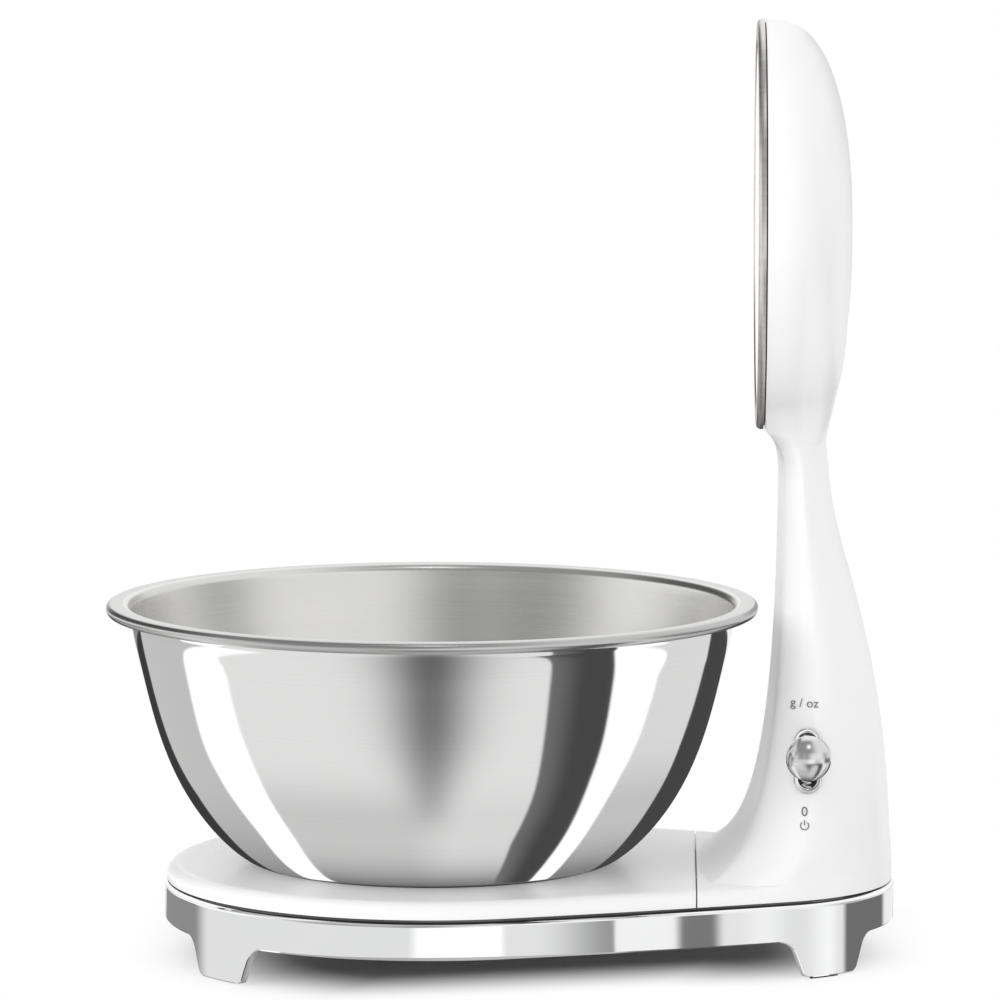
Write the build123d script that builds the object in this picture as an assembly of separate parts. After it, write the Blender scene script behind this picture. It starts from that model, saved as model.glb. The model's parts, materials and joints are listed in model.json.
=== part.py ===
from build123d import *
from math import atan, cos, degrees, exp, pi, radians, sin, sqrt
import os

# Kitchen scale: a steel bowl on a weighing platform, and a column with a round display.
# Millimetres, +Z up. The origin is on the table, under the middle of the whole object.
# The bowl is at -X, the column at +X. The display faces the bowl and the lever is on the -Y side.

# Plan of the base: two circles joined by straight tangents
BOWL_X = -23.0
BOWL_END_R = 88.0
TAIL_X = 77.0
TAIL_R = 56.0
SEAM_X = 66.3
SEAM_GAP = 0.5

# Heights of the base, from the table up
PAD_T = 1.2
FOOT_H = 11.8
SKIRT_H = 11.7
SHADOW_GAP = 0.7
TRIM_H = 1.1
PLATFORM_H = 5.5

# Skirt and feet
SKIRT_WALL = 3.0
SKIRT_BEVEL = 1.3
FOOT_DEPTH = 14.0
FOOT_FILLET = 9.0
BOWL_FOOT_ANGLE = 36.5
BOWL_FOOT_W = 24.0
BOWL_FOOT_FLARE = 11.0
TAIL_FOOT_ANGLE = 54.0
TAIL_FOOT_W = 16.0
TAIL_FOOT_FLARE = 17.0
PAD_INSET = 1.0

# Covers, frame and floor
COVER_INSET = 0.6
COVER_WALL = 2.5
PLATFORM_TOP_T = 2.6
PLATFORM_EDGE_R = 4.5
TRIM_W = 2.0
FRAME_WALL = 2.0
FRAME_FLOOR_T = 2.0
BOTTOM_T = 2.6
FIT = 0.1
GAP = 0.3

# Weighing parts
STOP_GAP = 0.6
STOP_R = 4.0
STOP_SPREAD = 40.0
CELL_L = 75.0
CELL_W = 12.0
CELL_H = 6.0
CELL_EYE_R = 2.0
CELL_EYE_SPREAD = 8.0
CELL_SLOT_H = 1.4
CELL_HOLE_IN = 5.0
CELL_HOLE_PITCH = 10.0
LOWER_SPACER_T = 1.2
SPACER_L = 20.0
PLATE_R = 62.0
PLATE_T = 2.5
PLATE_SCREW_IN = 13.5

# Bowl
BOWL_RIM_R = 110.0
BOWL_H = 88.0
BOWL_FOOT_R = 61.1
BOWL_WALL_R = 101.2
BOWL_SHEET = 0.8
BOWL_BEAD_R = 1.9
BOWL_LIP_H = 7.0
BOWL_TOE = 5.0

# Column, neck and head
NECK_Z = 175.0
NECK_FRONT_X = 93.4
NECK_BACK_X = 109.4
NECK_HALF_W = 23.5
HEAD_Z = 247.5
HEAD_R = 68.4
HEAD_FRONT_X = 88.75
HEAD_DEPTH = 29.1
CHIN_H = 8.0

# Display
RING_R = 68.7
RING_T = 2.95
RING_W = 7.2
RING_EDGE_R = 1.8
SEAL_T = 0.5
SEAL_W = 11.0
LENS_T = 2.0
PANEL_T = 2.0
CARRIER_R = 64.0
CARRIER_T = 2.0
CARRIER_D = 8.75
BOARD_T = 1.6
DISPLAY_SCREW_R = 52.0

# Lever and its switch
LEVER_X = 103.0
LEVER_Z = 72.5
OVAL_W = 9.3
OVAL_H = 21.7
OVAL_LIP = 1.1
OVAL_SINK = 0.6
OVAL_PROUD = 0.9
COLLAR_L = 9.0
SLOT_W = 4.8
SLOT_H = 13.0
BALL_R = 7.25
BALL_OUT = 14.0
STEM_R = 2.0
PIVOT_IN = 13.0
PIN_R = 1.0
PIN_PLAY = 0.05
HUB_R = 2.6
TAIL_L = 6.0
TAIL_ROD_R = 0.8
TIP_R = 1.2
SLIDER_HALF = 3.0
SWITCH_W = 13.0
SWITCH_H = 25.0
SWITCH_D = 14.5
SWITCH_WALL = 1.5
SPRING_R = 1.4
SPRING_WIRE_R = 0.25
SPRING_TURNS = 5

# Batteries
CELL_COUNT = 3
BATTERY_D = 10.5
BATTERY_L = 44.5
BATTERY_ROOM = 0.39
BATTERY_NUB_L = 1.0
BATTERY_NUB_R = 2.1
CONTACT_T = 0.4
CONTACT_W = 7.4
CONTACT_IN = 1.0
BOX_WALL = 1.2
DOOR_T = 2.0
DOOR_NOTCH_W = 17.0
HINGE_R = 0.8
HINGE_STUB = 2.0

# Fasteners
CELL_SCREW_R = 1.9
CELL_SCREW_HEAD_R = 3.2
SCREW_R = 1.4
SCREW_HEAD_R = 2.6
SCREW_HEAD_H = 1.2
SCREW_TIP_IN = 1.0
DISPLAY_SCREW_L = 6.0
POST_R = 4.5
BOSS_R = 5.5
BOSS_H = 12.0
SIDE_POST_RUN = 8.0
SIDE_POST_IN = 13.5
COVER_SCREW_IN = 16.0
COVER_SCREW_RUN = 30.0
COVER_SCREW_END = 22.0
COVER_SCREW_SPREAD = 18.0

# Board and wires
MAIN_BOARD_W = 39.0
MAIN_BOARD_H = 46.0
MAIN_BOARD_X = 113.0
MAIN_BOARD_Y = -14.7
CHIP_W = 8.8
PLUG_H = 4.0
LOOM_R = 1.5
LOOM_Y = 8.0
LOOM_RISE = 20.0
LOOM_BEND_DROP = 22.0
LOOM_ROUND = 0.45

# Levels that follow from the heights
SKIRT_LOW = PAD_T + FOOT_H
SKIRT_TOP = SKIRT_LOW + SKIRT_H
TRIM_LOW = SKIRT_TOP + SHADOW_GAP
COVER_LOW = TRIM_LOW + TRIM_H
PLATFORM_TOP = COVER_LOW + PLATFORM_H
BOTTOM_LOW = SKIRT_LOW + FIT
FRAME_LOW = BOTTOM_LOW + BOTTOM_T + FIT
FRAME_FLOOR = FRAME_LOW + FRAME_FLOOR_T
PLATE_TOP = PLATFORM_TOP - PLATFORM_TOP_T
PLATE_LOW = PLATE_TOP - PLATE_T
CELL_LOW = FRAME_FLOOR + LOWER_SPACER_T
CELL_TOP = CELL_LOW + CELL_H
FRAME_INSET = SKIRT_WALL + FIT
BATTERY_LOW = FRAME_LOW
BAY_TOP = BATTERY_LOW + BATTERY_D + GAP
BOARD_LOW = BAY_TOP + BOX_WALL + FIT
FAR = 400.0
ON_END = (Align.CENTER, Align.CENTER, Align.MIN)

# Direction in which the straight sides of the plan face
SIDE_COS = (BOWL_END_R - TAIL_R) / (TAIL_X - BOWL_X)
SIDE_SIN = sqrt(1 - SIDE_COS**2)


def side_y(x, inset=0.0):
    """Half-width of the plan's straight side at x."""
    return (BOWL_END_R - inset - (x - BOWL_X) * SIDE_COS) / SIDE_SIN


def plan(inset, z):
    """The base's outline at height z, drawn in by inset."""
    big, small = BOWL_END_R - inset, TAIL_R - inset
    a = (BOWL_X + big * SIDE_COS, big * SIDE_SIN)
    b = (TAIL_X + small * SIDE_COS, small * SIDE_SIN)
    edges = [
        Line(a, b),
        ThreePointArc(b, (TAIL_X + small, 0), (b[0], -b[1])),
        Line((b[0], -b[1]), (a[0], -a[1])),
        ThreePointArc((a[0], -a[1]), (BOWL_X - big, 0), a),
    ]
    return Pos(0, 0, z) * make_face(edges)


def slab(inset, low, high):
    return extrude(plan(inset, low), high - low, dir=(0, 0, 1))


def band(outer, inner, low, high):
    return slab(outer, low, high) - slab(inner, low, high)


def block(x0, x1, y0, y1, z0, z1):
    return Pos((x0 + x1) / 2, (y0 + y1) / 2, (z0 + z1) / 2) * Box(x1 - x0, y1 - y0, z1 - z0)


def post(x, y, r, low, high):
    return Pos(x, y, low) * Cylinder(r, high - low, align=ON_END)


def beyond_seam(offset):
    """Everything on the column's side of the seam, offset further towards the column."""
    return block(SEAM_X + SEAM_GAP / 2 + offset, FAR, -FAR, FAR, -FAR, FAR)


def before_seam(offset):
    """Everything on the platform's side of the seam, offset further towards the bowl."""
    return block(-FAR, SEAM_X - SEAM_GAP / 2 - offset, -FAR, FAR, -FAR, FAR)


def disc(x0, x1, r, hole=0.0):
    """A round plate across the display's axis, which runs along X at the head's height."""
    where = Pos(x0, 0, HEAD_Z) * Rot(0, 90, 0)
    plate = Cylinder(r, x1 - x0, align=ON_END)
    if hole:
        plate -= Cylinder(hole, x1 - x0, align=ON_END)
    return where * plate


def group(solids):
    return Compound(children=list(solids))


# Feet: bottom and top edges of each foot, as angles round its end of the base

def foot_edges(radius, angle, width, flare):
    """Angles of a foot's two sides at the floor, and of the two sides where it meets the skirt."""
    low = degrees(width / 2 / radius)
    top = degrees((width / 2 + flare) / radius)
    return angle - low, angle + low, angle - top, angle + top


BOWL_FOOT = foot_edges(BOWL_END_R, BOWL_FOOT_ANGLE, BOWL_FOOT_W, BOWL_FOOT_FLARE)
TAIL_FOOT = foot_edges(TAIL_R, TAIL_FOOT_ANGLE, TAIL_FOOT_W, TAIL_FOOT_FLARE)


def arch(low0, low1, top0, top1):
    """Upright opening between two feet, with round upper corners."""
    top = SKIRT_LOW + SKIRT_BEVEL
    sides = Polyline((low0, 0), (top0, top), (top1, top), (low1, 0), close=True)
    face = make_face(sides)
    return fillet(face.vertices().group_by(Axis.Y)[-1], FOOT_FILLET)


def foot_openings():
    """The openings between the feet: one through both long sides, one at each end."""
    along = arch(
        BOWL_X - BOWL_END_R * cos(radians(BOWL_FOOT[1])),
        TAIL_X + TAIL_R * cos(radians(TAIL_FOOT[1])),
        BOWL_X - BOWL_END_R * cos(radians(BOWL_FOOT[3])),
        TAIL_X + TAIL_R * cos(radians(TAIL_FOOT[3])),
    )
    bowl_low = BOWL_END_R * sin(radians(BOWL_FOOT[0]))
    bowl_top = BOWL_END_R * sin(radians(BOWL_FOOT[2]))
    tail_low = TAIL_R * sin(radians(TAIL_FOOT[0]))
    tail_top = TAIL_R * sin(radians(TAIL_FOOT[2]))
    bowl_end = arch(-bowl_low, bowl_low, -bowl_top, bowl_top)
    tail_end = arch(-tail_low, tail_low, -tail_top, tail_top)
    through = extrude(Plane.XZ * along, FAR, both=True)
    left = Plane((BOWL_X, 0, 0), x_dir=(0, -1, 0), z_dir=(-1, 0, 0)) * bowl_end
    right = Plane((TAIL_X, 0, 0), x_dir=(0, 1, 0), z_dir=(1, 0, 0)) * tail_end
    return [through, extrude(left, FAR), extrude(right, FAR)]


def base_skirt():
    """Chrome band round the base, with four feet in one piece with it."""
    feet = band(0, FOOT_DEPTH, PAD_T, SKIRT_LOW)
    feet += band(0, SKIRT_WALL, SKIRT_LOW, SKIRT_LOW + SKIRT_BEVEL)
    for opening in foot_openings():
        feet -= opening
    outside = slab(0, SKIRT_LOW, SKIRT_TOP)
    outside = chamfer(outside.edges().group_by(Axis.Z)[0], SKIRT_BEVEL)
    return outside - slab(SKIRT_WALL, SKIRT_LOW, SKIRT_TOP) + feet


def foot_pads():
    """A rubber pad under each foot."""
    strip = band(PAD_INSET, FOOT_DEPTH - PAD_INSET, 0, PAD_T)
    x0 = BOWL_X - BOWL_END_R * cos(radians(BOWL_FOOT[1])) - PAD_INSET
    x1 = TAIL_X + TAIL_R * cos(radians(TAIL_FOOT[1])) + PAD_INSET
    y0 = BOWL_END_R * sin(radians(BOWL_FOOT[0])) + PAD_INSET
    y1 = TAIL_R * sin(radians(TAIL_FOOT[0])) + PAD_INSET
    strip -= block(x0, x1, -FAR, FAR, -1, PAD_T + 1)
    strip -= block(-FAR, BOWL_X, -y0, y0, -1, PAD_T + 1)
    strip -= block(TAIL_X, FAR, -y1, y1, -1, PAD_T + 1)
    pads = {}
    for pad in strip.solids():
        centre = pad.center()
        end = "bowl" if centre.X < 0 else "column"
        side = "lever_side" if centre.Y < 0 else "far_side"
        pads[f"foot_pad_{end}_{side}"] = pad
    return pads


# Screw places, as (x, y) in the base

CELL_FIXED = [BOWL_X - CELL_L / 2 + CELL_HOLE_IN + i * CELL_HOLE_PITCH for i in range(2)]
CELL_FREE = [BOWL_X + CELL_L / 2 - CELL_HOLE_IN - i * CELL_HOLE_PITCH for i in range(2)]
STOPS = [(BOWL_X + i * STOP_SPREAD, j * STOP_SPREAD) for i in (-1, 1) for j in (-1, 1)]
PLATE_SCREW_OUT = PLATE_R - PLATE_SCREW_IN
PLATE_SCREWS = [(BOWL_X + i * PLATE_SCREW_OUT, 0) for i in (-1, 1)]
PLATE_SCREWS += [(BOWL_X, i * PLATE_SCREW_OUT) for i in (-1, 1)]


def in_from_side(x, depth):
    """Two places at x, depth in from the plan's straight sides."""
    return [(x, i * (side_y(x) - depth)) for i in (-1, 1)]


BACK_POST_OUT = (TAIL_R - FRAME_INSET - POST_R) * sin(pi / 4)
COLUMN_POSTS = in_from_side(TAIL_X + SIDE_POST_RUN, SIDE_POST_IN)
COLUMN_POSTS += [(TAIL_X + BACK_POST_OUT, i * BACK_POST_OUT) for i in (-1, 1)]
COVER_SCREWS = in_from_side(SEAM_X, COVER_SCREW_IN) + in_from_side(BOWL_X + COVER_SCREW_RUN, COVER_SCREW_IN)
COVER_SCREWS += [(BOWL_X - BOWL_END_R + COVER_SCREW_END, i * COVER_SCREW_SPREAD) for i in (-1, 1)]

# Battery bay, under the column: its back corners stand just inside the frame's round end
BATTERY_PITCH = BATTERY_D + 2 * GAP
BAY_Y = CELL_COUNT * BATTERY_PITCH / 2
BAY_HALF_L = BATTERY_L / 2 + 2 * CONTACT_T
BAY_END_R = TAIL_R - FRAME_INSET - FRAME_WALL - BATTERY_ROOM
BATTERY_X = TAIL_X + sqrt(BAY_END_R**2 - (BAY_Y + BOX_WALL) ** 2) - BAY_HALF_L - BOX_WALL
BAY_X = (BATTERY_X - BAY_HALF_L, BATTERY_X + BAY_HALF_L)
DOOR_LOW = BOTTOM_LOW + (BOTTOM_T - DOOR_T) / 2
HINGE_Z = DOOR_LOW + DOOR_T / 2
HINGE_Y = BAY_Y - GAP - DOOR_T / 2


def base_frame():
    """Dark chassis: a floor with a rim, posts for the column and stops under the platform."""
    frame = slab(FRAME_INSET, FRAME_LOW, FRAME_FLOOR)
    frame += band(FRAME_INSET, FRAME_INSET + FRAME_WALL, FRAME_LOW, TRIM_LOW)
    for x, y in STOPS:
        frame += post(x, y, STOP_R, FRAME_FLOOR, PLATE_LOW - STOP_GAP)
    for x, y in COLUMN_POSTS:
        frame += post(x, y, POST_R, FRAME_FLOOR, COVER_LOW)
    box = BOX_WALL + FIT
    frame -= block(BAY_X[0] - box, BAY_X[1] + box, -BAY_Y - box, BAY_Y + box, 0, FRAME_FLOOR)
    for x in CELL_FIXED:
        frame -= post(x, 0, CELL_SCREW_R + FIT, FRAME_LOW, FRAME_FLOOR)
        frame -= post(x, 0, CELL_SCREW_HEAD_R + FIT, FRAME_LOW, FRAME_LOW + SCREW_HEAD_H + FIT)
    for x, y in COLUMN_POSTS:
        frame -= post(x, y, SCREW_R + FIT, FRAME_LOW, COVER_LOW)
        frame -= post(x, y, SCREW_HEAD_R + FIT, FRAME_LOW, FRAME_LOW + SCREW_HEAD_H + FIT)
    for x, y in COVER_SCREWS:
        frame -= post(x, y, SCREW_R + FIT / 2, FRAME_LOW, FRAME_FLOOR)
    return frame


def bottom_cover():
    """Plate that closes the underside, with the battery door's opening and hinge sockets."""
    plate = slab(FRAME_INSET, BOTTOM_LOW, BOTTOM_LOW + BOTTOM_T)
    plate -= block(*BAY_X, -BAY_Y, BAY_Y, 0, FRAME_LOW)
    low, high = BAY_X[0] - HINGE_STUB - GAP, BAY_X[1] + HINGE_STUB + GAP
    socket = Cylinder(HINGE_R + PIN_PLAY, high - low)
    plate -= Pos((low + high) / 2, HINGE_Y, HINGE_Z) * Rot(0, 90, 0) * socket
    for x, y in COVER_SCREWS:
        plate -= post(x, y, SCREW_R + FIT, 0, FRAME_LOW)
        plate -= post(x, y, SCREW_HEAD_R + FIT, 0, BOTTOM_LOW + SCREW_HEAD_H + FIT)
    return plate


def battery_door():
    """Flush door that swings down on two stub pins. Its hinge edge is rounded about the pins."""
    x0, x1 = BAY_X[0] + GAP, BAY_X[1] - GAP
    door = block(x0, x1, -BAY_Y + GAP, HINGE_Y, DOOR_LOW, DOOR_LOW + DOOR_T)
    middle = Pos((x0 + x1) / 2, HINGE_Y, HINGE_Z) * Rot(0, 90, 0)
    door += middle * Cylinder(DOOR_T / 2, x1 - x0)
    door += middle * Cylinder(HINGE_R, BAY_X[1] - BAY_X[0] + 2 * HINGE_STUB)
    half = DOOR_NOTCH_W / 2
    door -= block(BATTERY_X - half, BATTERY_X + half, -FAR, -BAY_Y + DOOR_T, 0, HINGE_Z)
    return door


def battery_box():
    """Tub over the cells, open below to the door."""
    x0, x1 = BAY_X[0] - BOX_WALL, BAY_X[1] + BOX_WALL
    y1 = BAY_Y + BOX_WALL
    box = block(x0, x1, -y1, y1, FRAME_LOW, BAY_TOP + BOX_WALL)
    box -= block(*BAY_X, -BAY_Y, BAY_Y, 0, BAY_TOP)
    return box


def battery_places():
    return [(i - (CELL_COUNT - 1) / 2) * BATTERY_PITCH for i in range(CELL_COUNT)]


def battery_cells():
    """Cylinder cells lying along X, each with its raised end."""
    cells = []
    for y in battery_places():
        body = Pos(BATTERY_X - BATTERY_NUB_L / 2, y, BATTERY_LOW + BATTERY_D / 2) * Rot(0, 90, 0)
        cell = body * Cylinder(BATTERY_D / 2, BATTERY_L - BATTERY_NUB_L)
        cell += Pos(BATTERY_NUB_L / 2, 0, 0) * body * Cylinder(BATTERY_NUB_R, BATTERY_L)
        cells.append(cell)
    return group(cells)


def battery_contacts():
    """A flat spring leaf at each end of each cell."""
    leaves = []
    half = CONTACT_W / 2
    low, high = BATTERY_LOW + CONTACT_IN, BAY_TOP - CONTACT_IN
    for y in battery_places():
        for x in (BAY_X[0], BAY_X[1] - CONTACT_T):
            leaves.append(block(x, x + CONTACT_T, y - half, y + half, low, high))
    return group(leaves)


def platform_cover():
    """White plate under the bowl, hollow below, with a soft upper edge."""
    cover = slab(COVER_INSET, COVER_LOW, PLATFORM_TOP)
    cover = fillet(cover.edges().group_by(Axis.Z)[-1], PLATFORM_EDGE_R)
    cover &= before_seam(0)
    inside = slab(COVER_INSET + COVER_WALL, COVER_LOW, PLATE_TOP) & before_seam(COVER_WALL)
    cover -= inside
    for x, y in PLATE_SCREWS:
        cover -= post(x, y, SCREW_R + FIT / 2, PLATE_TOP, PLATFORM_TOP - SCREW_TIP_IN)
    return cover


def trim():
    return band(COVER_INSET, COVER_INSET + TRIM_W, TRIM_LOW, COVER_LOW)


def load_plate():
    """Stiff disc between the load cell and the platform cover."""
    plate = post(BOWL_X, 0, PLATE_R, PLATE_LOW, PLATE_TOP)
    for x in CELL_FREE:
        plate -= post(x, 0, CELL_SCREW_R + FIT, PLATE_LOW, PLATE_TOP)
        plate -= post(x, 0, CELL_SCREW_HEAD_R + FIT, PLATE_TOP - SCREW_HEAD_H - FIT, PLATE_TOP)
    for x, y in PLATE_SCREWS:
        plate -= post(x, y, SCREW_R + FIT, PLATE_LOW, PLATE_TOP)
    return plate


def load_cell():
    """Bending-beam load cell: a bar with two joined eyes cut through its middle."""
    bar = block(BOWL_X - CELL_L / 2, BOWL_X + CELL_L / 2, -CELL_W / 2, CELL_W / 2, CELL_LOW, CELL_TOP)
    middle = (CELL_LOW + CELL_TOP) / 2
    for i in (-1, 1):
        eye = Pos(BOWL_X + i * CELL_EYE_SPREAD, 0, middle) * Rot(90, 0, 0)
        bar -= eye * Cylinder(CELL_EYE_R, CELL_W)
    slot_x = (BOWL_X - CELL_EYE_SPREAD, BOWL_X + CELL_EYE_SPREAD)
    bar -= block(*slot_x, -CELL_W, CELL_W, middle - CELL_SLOT_H / 2, middle + CELL_SLOT_H / 2)
    for x in CELL_FIXED + CELL_FREE:
        bar -= post(x, 0, CELL_SCREW_R + FIT / 2, CELL_LOW, CELL_TOP)
    return bar


def cell_spacer(places, low, high):
    """Small plate that keeps one end of the load cell off its neighbour."""
    middle = sum(places) / len(places)
    spacer = block(middle - SPACER_L / 2, middle + SPACER_L / 2, -CELL_W / 2, CELL_W / 2, low, high)
    for x in places:
        spacer -= post(x, 0, CELL_SCREW_R + FIT, low, high)
    return spacer


def screw(x, y, head_z, tip_z, r, head_r):
    """A screw whose head starts at head_z and whose shank ends at tip_z, above or below it."""
    up = 1 if tip_z > head_z else -1
    neck = head_z + up * SCREW_HEAD_H
    head = post(x, y, head_r, min(head_z, neck), max(head_z, neck))
    return head + post(x, y, r, min(neck, tip_z), max(neck, tip_z))


def cell_screws_fixed():
    tip = CELL_TOP - SCREW_TIP_IN
    return group(screw(x, 0, FRAME_LOW, tip, CELL_SCREW_R, CELL_SCREW_HEAD_R) for x in CELL_FIXED)


def cell_screws_free():
    tip = CELL_LOW + SCREW_TIP_IN
    return group(screw(x, 0, PLATE_TOP, tip, CELL_SCREW_R, CELL_SCREW_HEAD_R) for x in CELL_FREE)


def platform_screws():
    head = PLATE_LOW - SCREW_HEAD_H
    tip = PLATFORM_TOP - SCREW_TIP_IN - FIT
    return group(screw(x, y, head, tip, SCREW_R, SCREW_HEAD_R) for x, y in PLATE_SCREWS)


def cover_screws():
    tip = FRAME_FLOOR
    return group(screw(x, y, BOTTOM_LOW, tip, SCREW_R, SCREW_HEAD_R) for x, y in COVER_SCREWS)


def column_screws():
    tip = COVER_LOW + BOSS_H - 2 * SCREW_TIP_IN
    return group(screw(x, y, FRAME_LOW, tip, SCREW_R, SCREW_HEAD_R) for x, y in COLUMN_POSTS)


# Bowl

def bowl_outside():
    """Points up the outside of the bowl, from the flat foot to below the lip, as (radius, height)."""
    low = PLATFORM_TOP
    rise = BOWL_H - BOWL_LIP_H
    flare = BOWL_WALL_R - BOWL_FOOT_R
    shares = [(0.04, 0.016), (0.36, 0.115), (0.56, 0.233), (0.745, 0.47), (0.878, 0.647)]
    shares += [(0.978, 0.883), (1, 1)]
    foot = [(BOWL_FOOT_R - BOWL_TOE, low)]
    return foot + [(BOWL_FOOT_R + a * flare, low + b * rise) for a, b in shares]


def inward(points, thickness):
    """The same run of points, moved square to itself towards the inside of the bowl."""
    moved = []
    for i, (r, z) in enumerate(points):
        r0, z0 = points[max(i - 1, 0)]
        r1, z1 = points[min(i + 1, len(points) - 1)]
        length = sqrt((r1 - r0) ** 2 + (z1 - z0) ** 2)
        moved.append((r - (z1 - z0) / length * thickness, z + (r1 - r0) / length * thickness))
    moved[0] = (points[0][0], points[0][1] + thickness)
    moved[-1] = (points[-1][0] - thickness, points[-1][1])
    return moved


def bowl():
    """One sheet-steel pressing: flat foot, swelling wall, flared lip and rolled edge."""
    axis = Axis((BOWL_X, 0, 0), (0, 0, 1))
    outside = bowl_outside()
    inside = inward(outside, BOWL_SHEET)

    def at(p):
        return (BOWL_X + p[0], 0, p[1])

    rim_z = PLATFORM_TOP + BOWL_H - BOWL_BEAD_R
    bead = (BOWL_RIM_R - BOWL_BEAD_R, rim_z)
    lip_out = (bead[0], rim_z - BOWL_SHEET / 2)
    lip_in = (bead[0], rim_z + BOWL_SHEET / 2)
    edges = [
        Line(at((0, PLATFORM_TOP)), at(outside[0])),
        Spline([at(p) for p in outside], tangents=[(1, 0, 0), (0, 0, 1)]),
        Spline([at(outside[-1]), at(lip_out)], tangents=[(0, 0, 1), (1, 0, 0.2)]),
        Line(at(lip_out), at(lip_in)),
        Spline([at(lip_in), at(inside[-1])], tangents=[(-1, 0, -0.2), (0, 0, -1)]),
        Spline([at(p) for p in reversed(inside)], tangents=[(0, 0, -1), (-1, 0, 0)]),
        Line(at(inside[0]), at((0, PLATFORM_TOP + BOWL_SHEET))),
        Line(at((0, PLATFORM_TOP + BOWL_SHEET)), at((0, PLATFORM_TOP))),
    ]
    sheet = revolve(make_face(edges), axis)
    roll = Pos(BOWL_X, 0, rim_z) * Torus(bead[0], BOWL_BEAD_R)
    return sheet + roll


# Column: level sections, each with a bowed front between two creases and a round back

def smooth(t):
    t = min(max(t, 0.0), 1.0)
    return t * t * (3 - 2 * t)


def eased(points, t):
    """A smooth curve through (place, value) pairs, sloped at each point as its neighbours are."""
    i = max(k for k in range(len(points) - 1) if points[k][0] <= t or k == 0)
    (t0, v0), (t1, v1) = points[i], points[i + 1]

    def slope(k):
        a, b = points[max(k - 1, 0)], points[min(k + 1, len(points) - 1)]
        return (b[1] - a[1]) / (b[0] - a[0])

    step = t1 - t0
    u = (t - t0) / step
    return (
        v0 * (1 + 2 * u) * (1 - u) ** 2
        + slope(i) * step * u * (1 - u) ** 2
        + v1 * u * u * (3 - 2 * u)
        + slope(i + 1) * step * u * u * (u - 1)
    )


NECK_RISE = NECK_Z - PLATFORM_TOP
TAIL_BACK_X = TAIL_X + TAIL_R - COVER_INSET
TAIL_HALF_W = (TAIL_R - COVER_INSET) * SIDE_SIN
TOE_RUN = 8.0
TOE_H = 50.0
EDGE_LEVEL_LOW = 2.5
EDGE_LEVEL_HIGH = 1.0
FLARE_LONG = 36.0
FLARE_SHORT = 8.0
LEAN_X = (NECK_FRONT_X - SEAM_X) * 2 / 3
TOE_X = (NECK_FRONT_X - SEAM_X) / 3
BACK_LEAN = [(0, 1), (0.19, 0.935), (0.335, 0.843), (0.48, 0.69), (0.67, 0.4), (0.76, 0.24)]
BACK_LEAN += [(0.86, 0.1), (1, 0)]
KEEL = [(0, 0), (0.09, 0.19), (0.185, 0.38), (0.28, 0.53), (0.37, 0.68), (0.48, 0.74), (0.6, 0.72)]
SIDE_LEAN = 1.05
NECK_SWELL = 0.7
SWELL_RISE = 0.45
CREASE_HIGH = 0.74
CREASE_SPREAD = 0.22
FRONT_BOW = 2.2
FRONT_BOW_LOW = 2.5
CREASE_TURN = 0.2
WIDE_AT = 0.38
ROUND_AT = 0.765
ROUND_Y = 0.69
HEAD_ROUND_IN = 2.2
HEAD_ROUND_OUT = 2.73


def front_x(z):
    """Front of the column: a slow lean and a quick toe that runs out over the plate, then the chin."""
    up = z - PLATFORM_TOP
    x = NECK_FRONT_X - LEAN_X * exp(-up / FLARE_LONG) - TOE_X * exp(-up / FLARE_SHORT)
    chin = smooth((z - (NECK_Z - 1)) / CHIN_H)
    return x + (HEAD_FRONT_X + SEAL_T - x) * chin


def back_x(z):
    """Back of the column: upright at the base, hollow at the neck, then up into the head's keel."""
    share = (z - PLATFORM_TOP) / NECK_RISE
    if share <= 0:
        return TAIL_BACK_X
    if share <= 1:
        return NECK_BACK_X + (TAIL_BACK_X - NECK_BACK_X) * eased(BACK_LEAN, share)
    head_back = HEAD_FRONT_X + HEAD_DEPTH
    return NECK_BACK_X + (head_back - NECK_BACK_X) * eased(KEEL, (z - NECK_Z) / (HEAD_Z - NECK_Z))


def half_width(z):
    share = (z - PLATFORM_TOP) / NECK_RISE
    if share > 1:
        return NECK_HALF_W * (1 + NECK_SWELL * smooth((share - 1) / SWELL_RISE))
    return NECK_HALF_W + (TAIL_HALF_W - NECK_HALF_W) * (1 - max(share, 0)) ** SIDE_LEAN


def edge_inset(z):
    """How far the rounded upper edge of the base's covers is drawn in at height z."""
    up = z - (PLATFORM_TOP - PLATFORM_EDGE_R)
    if up <= 0:
        return COVER_INSET
    return COVER_INSET + PLATFORM_EDGE_R - sqrt(PLATFORM_EDGE_R**2 - min(up, PLATFORM_EDGE_R) ** 2)


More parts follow.
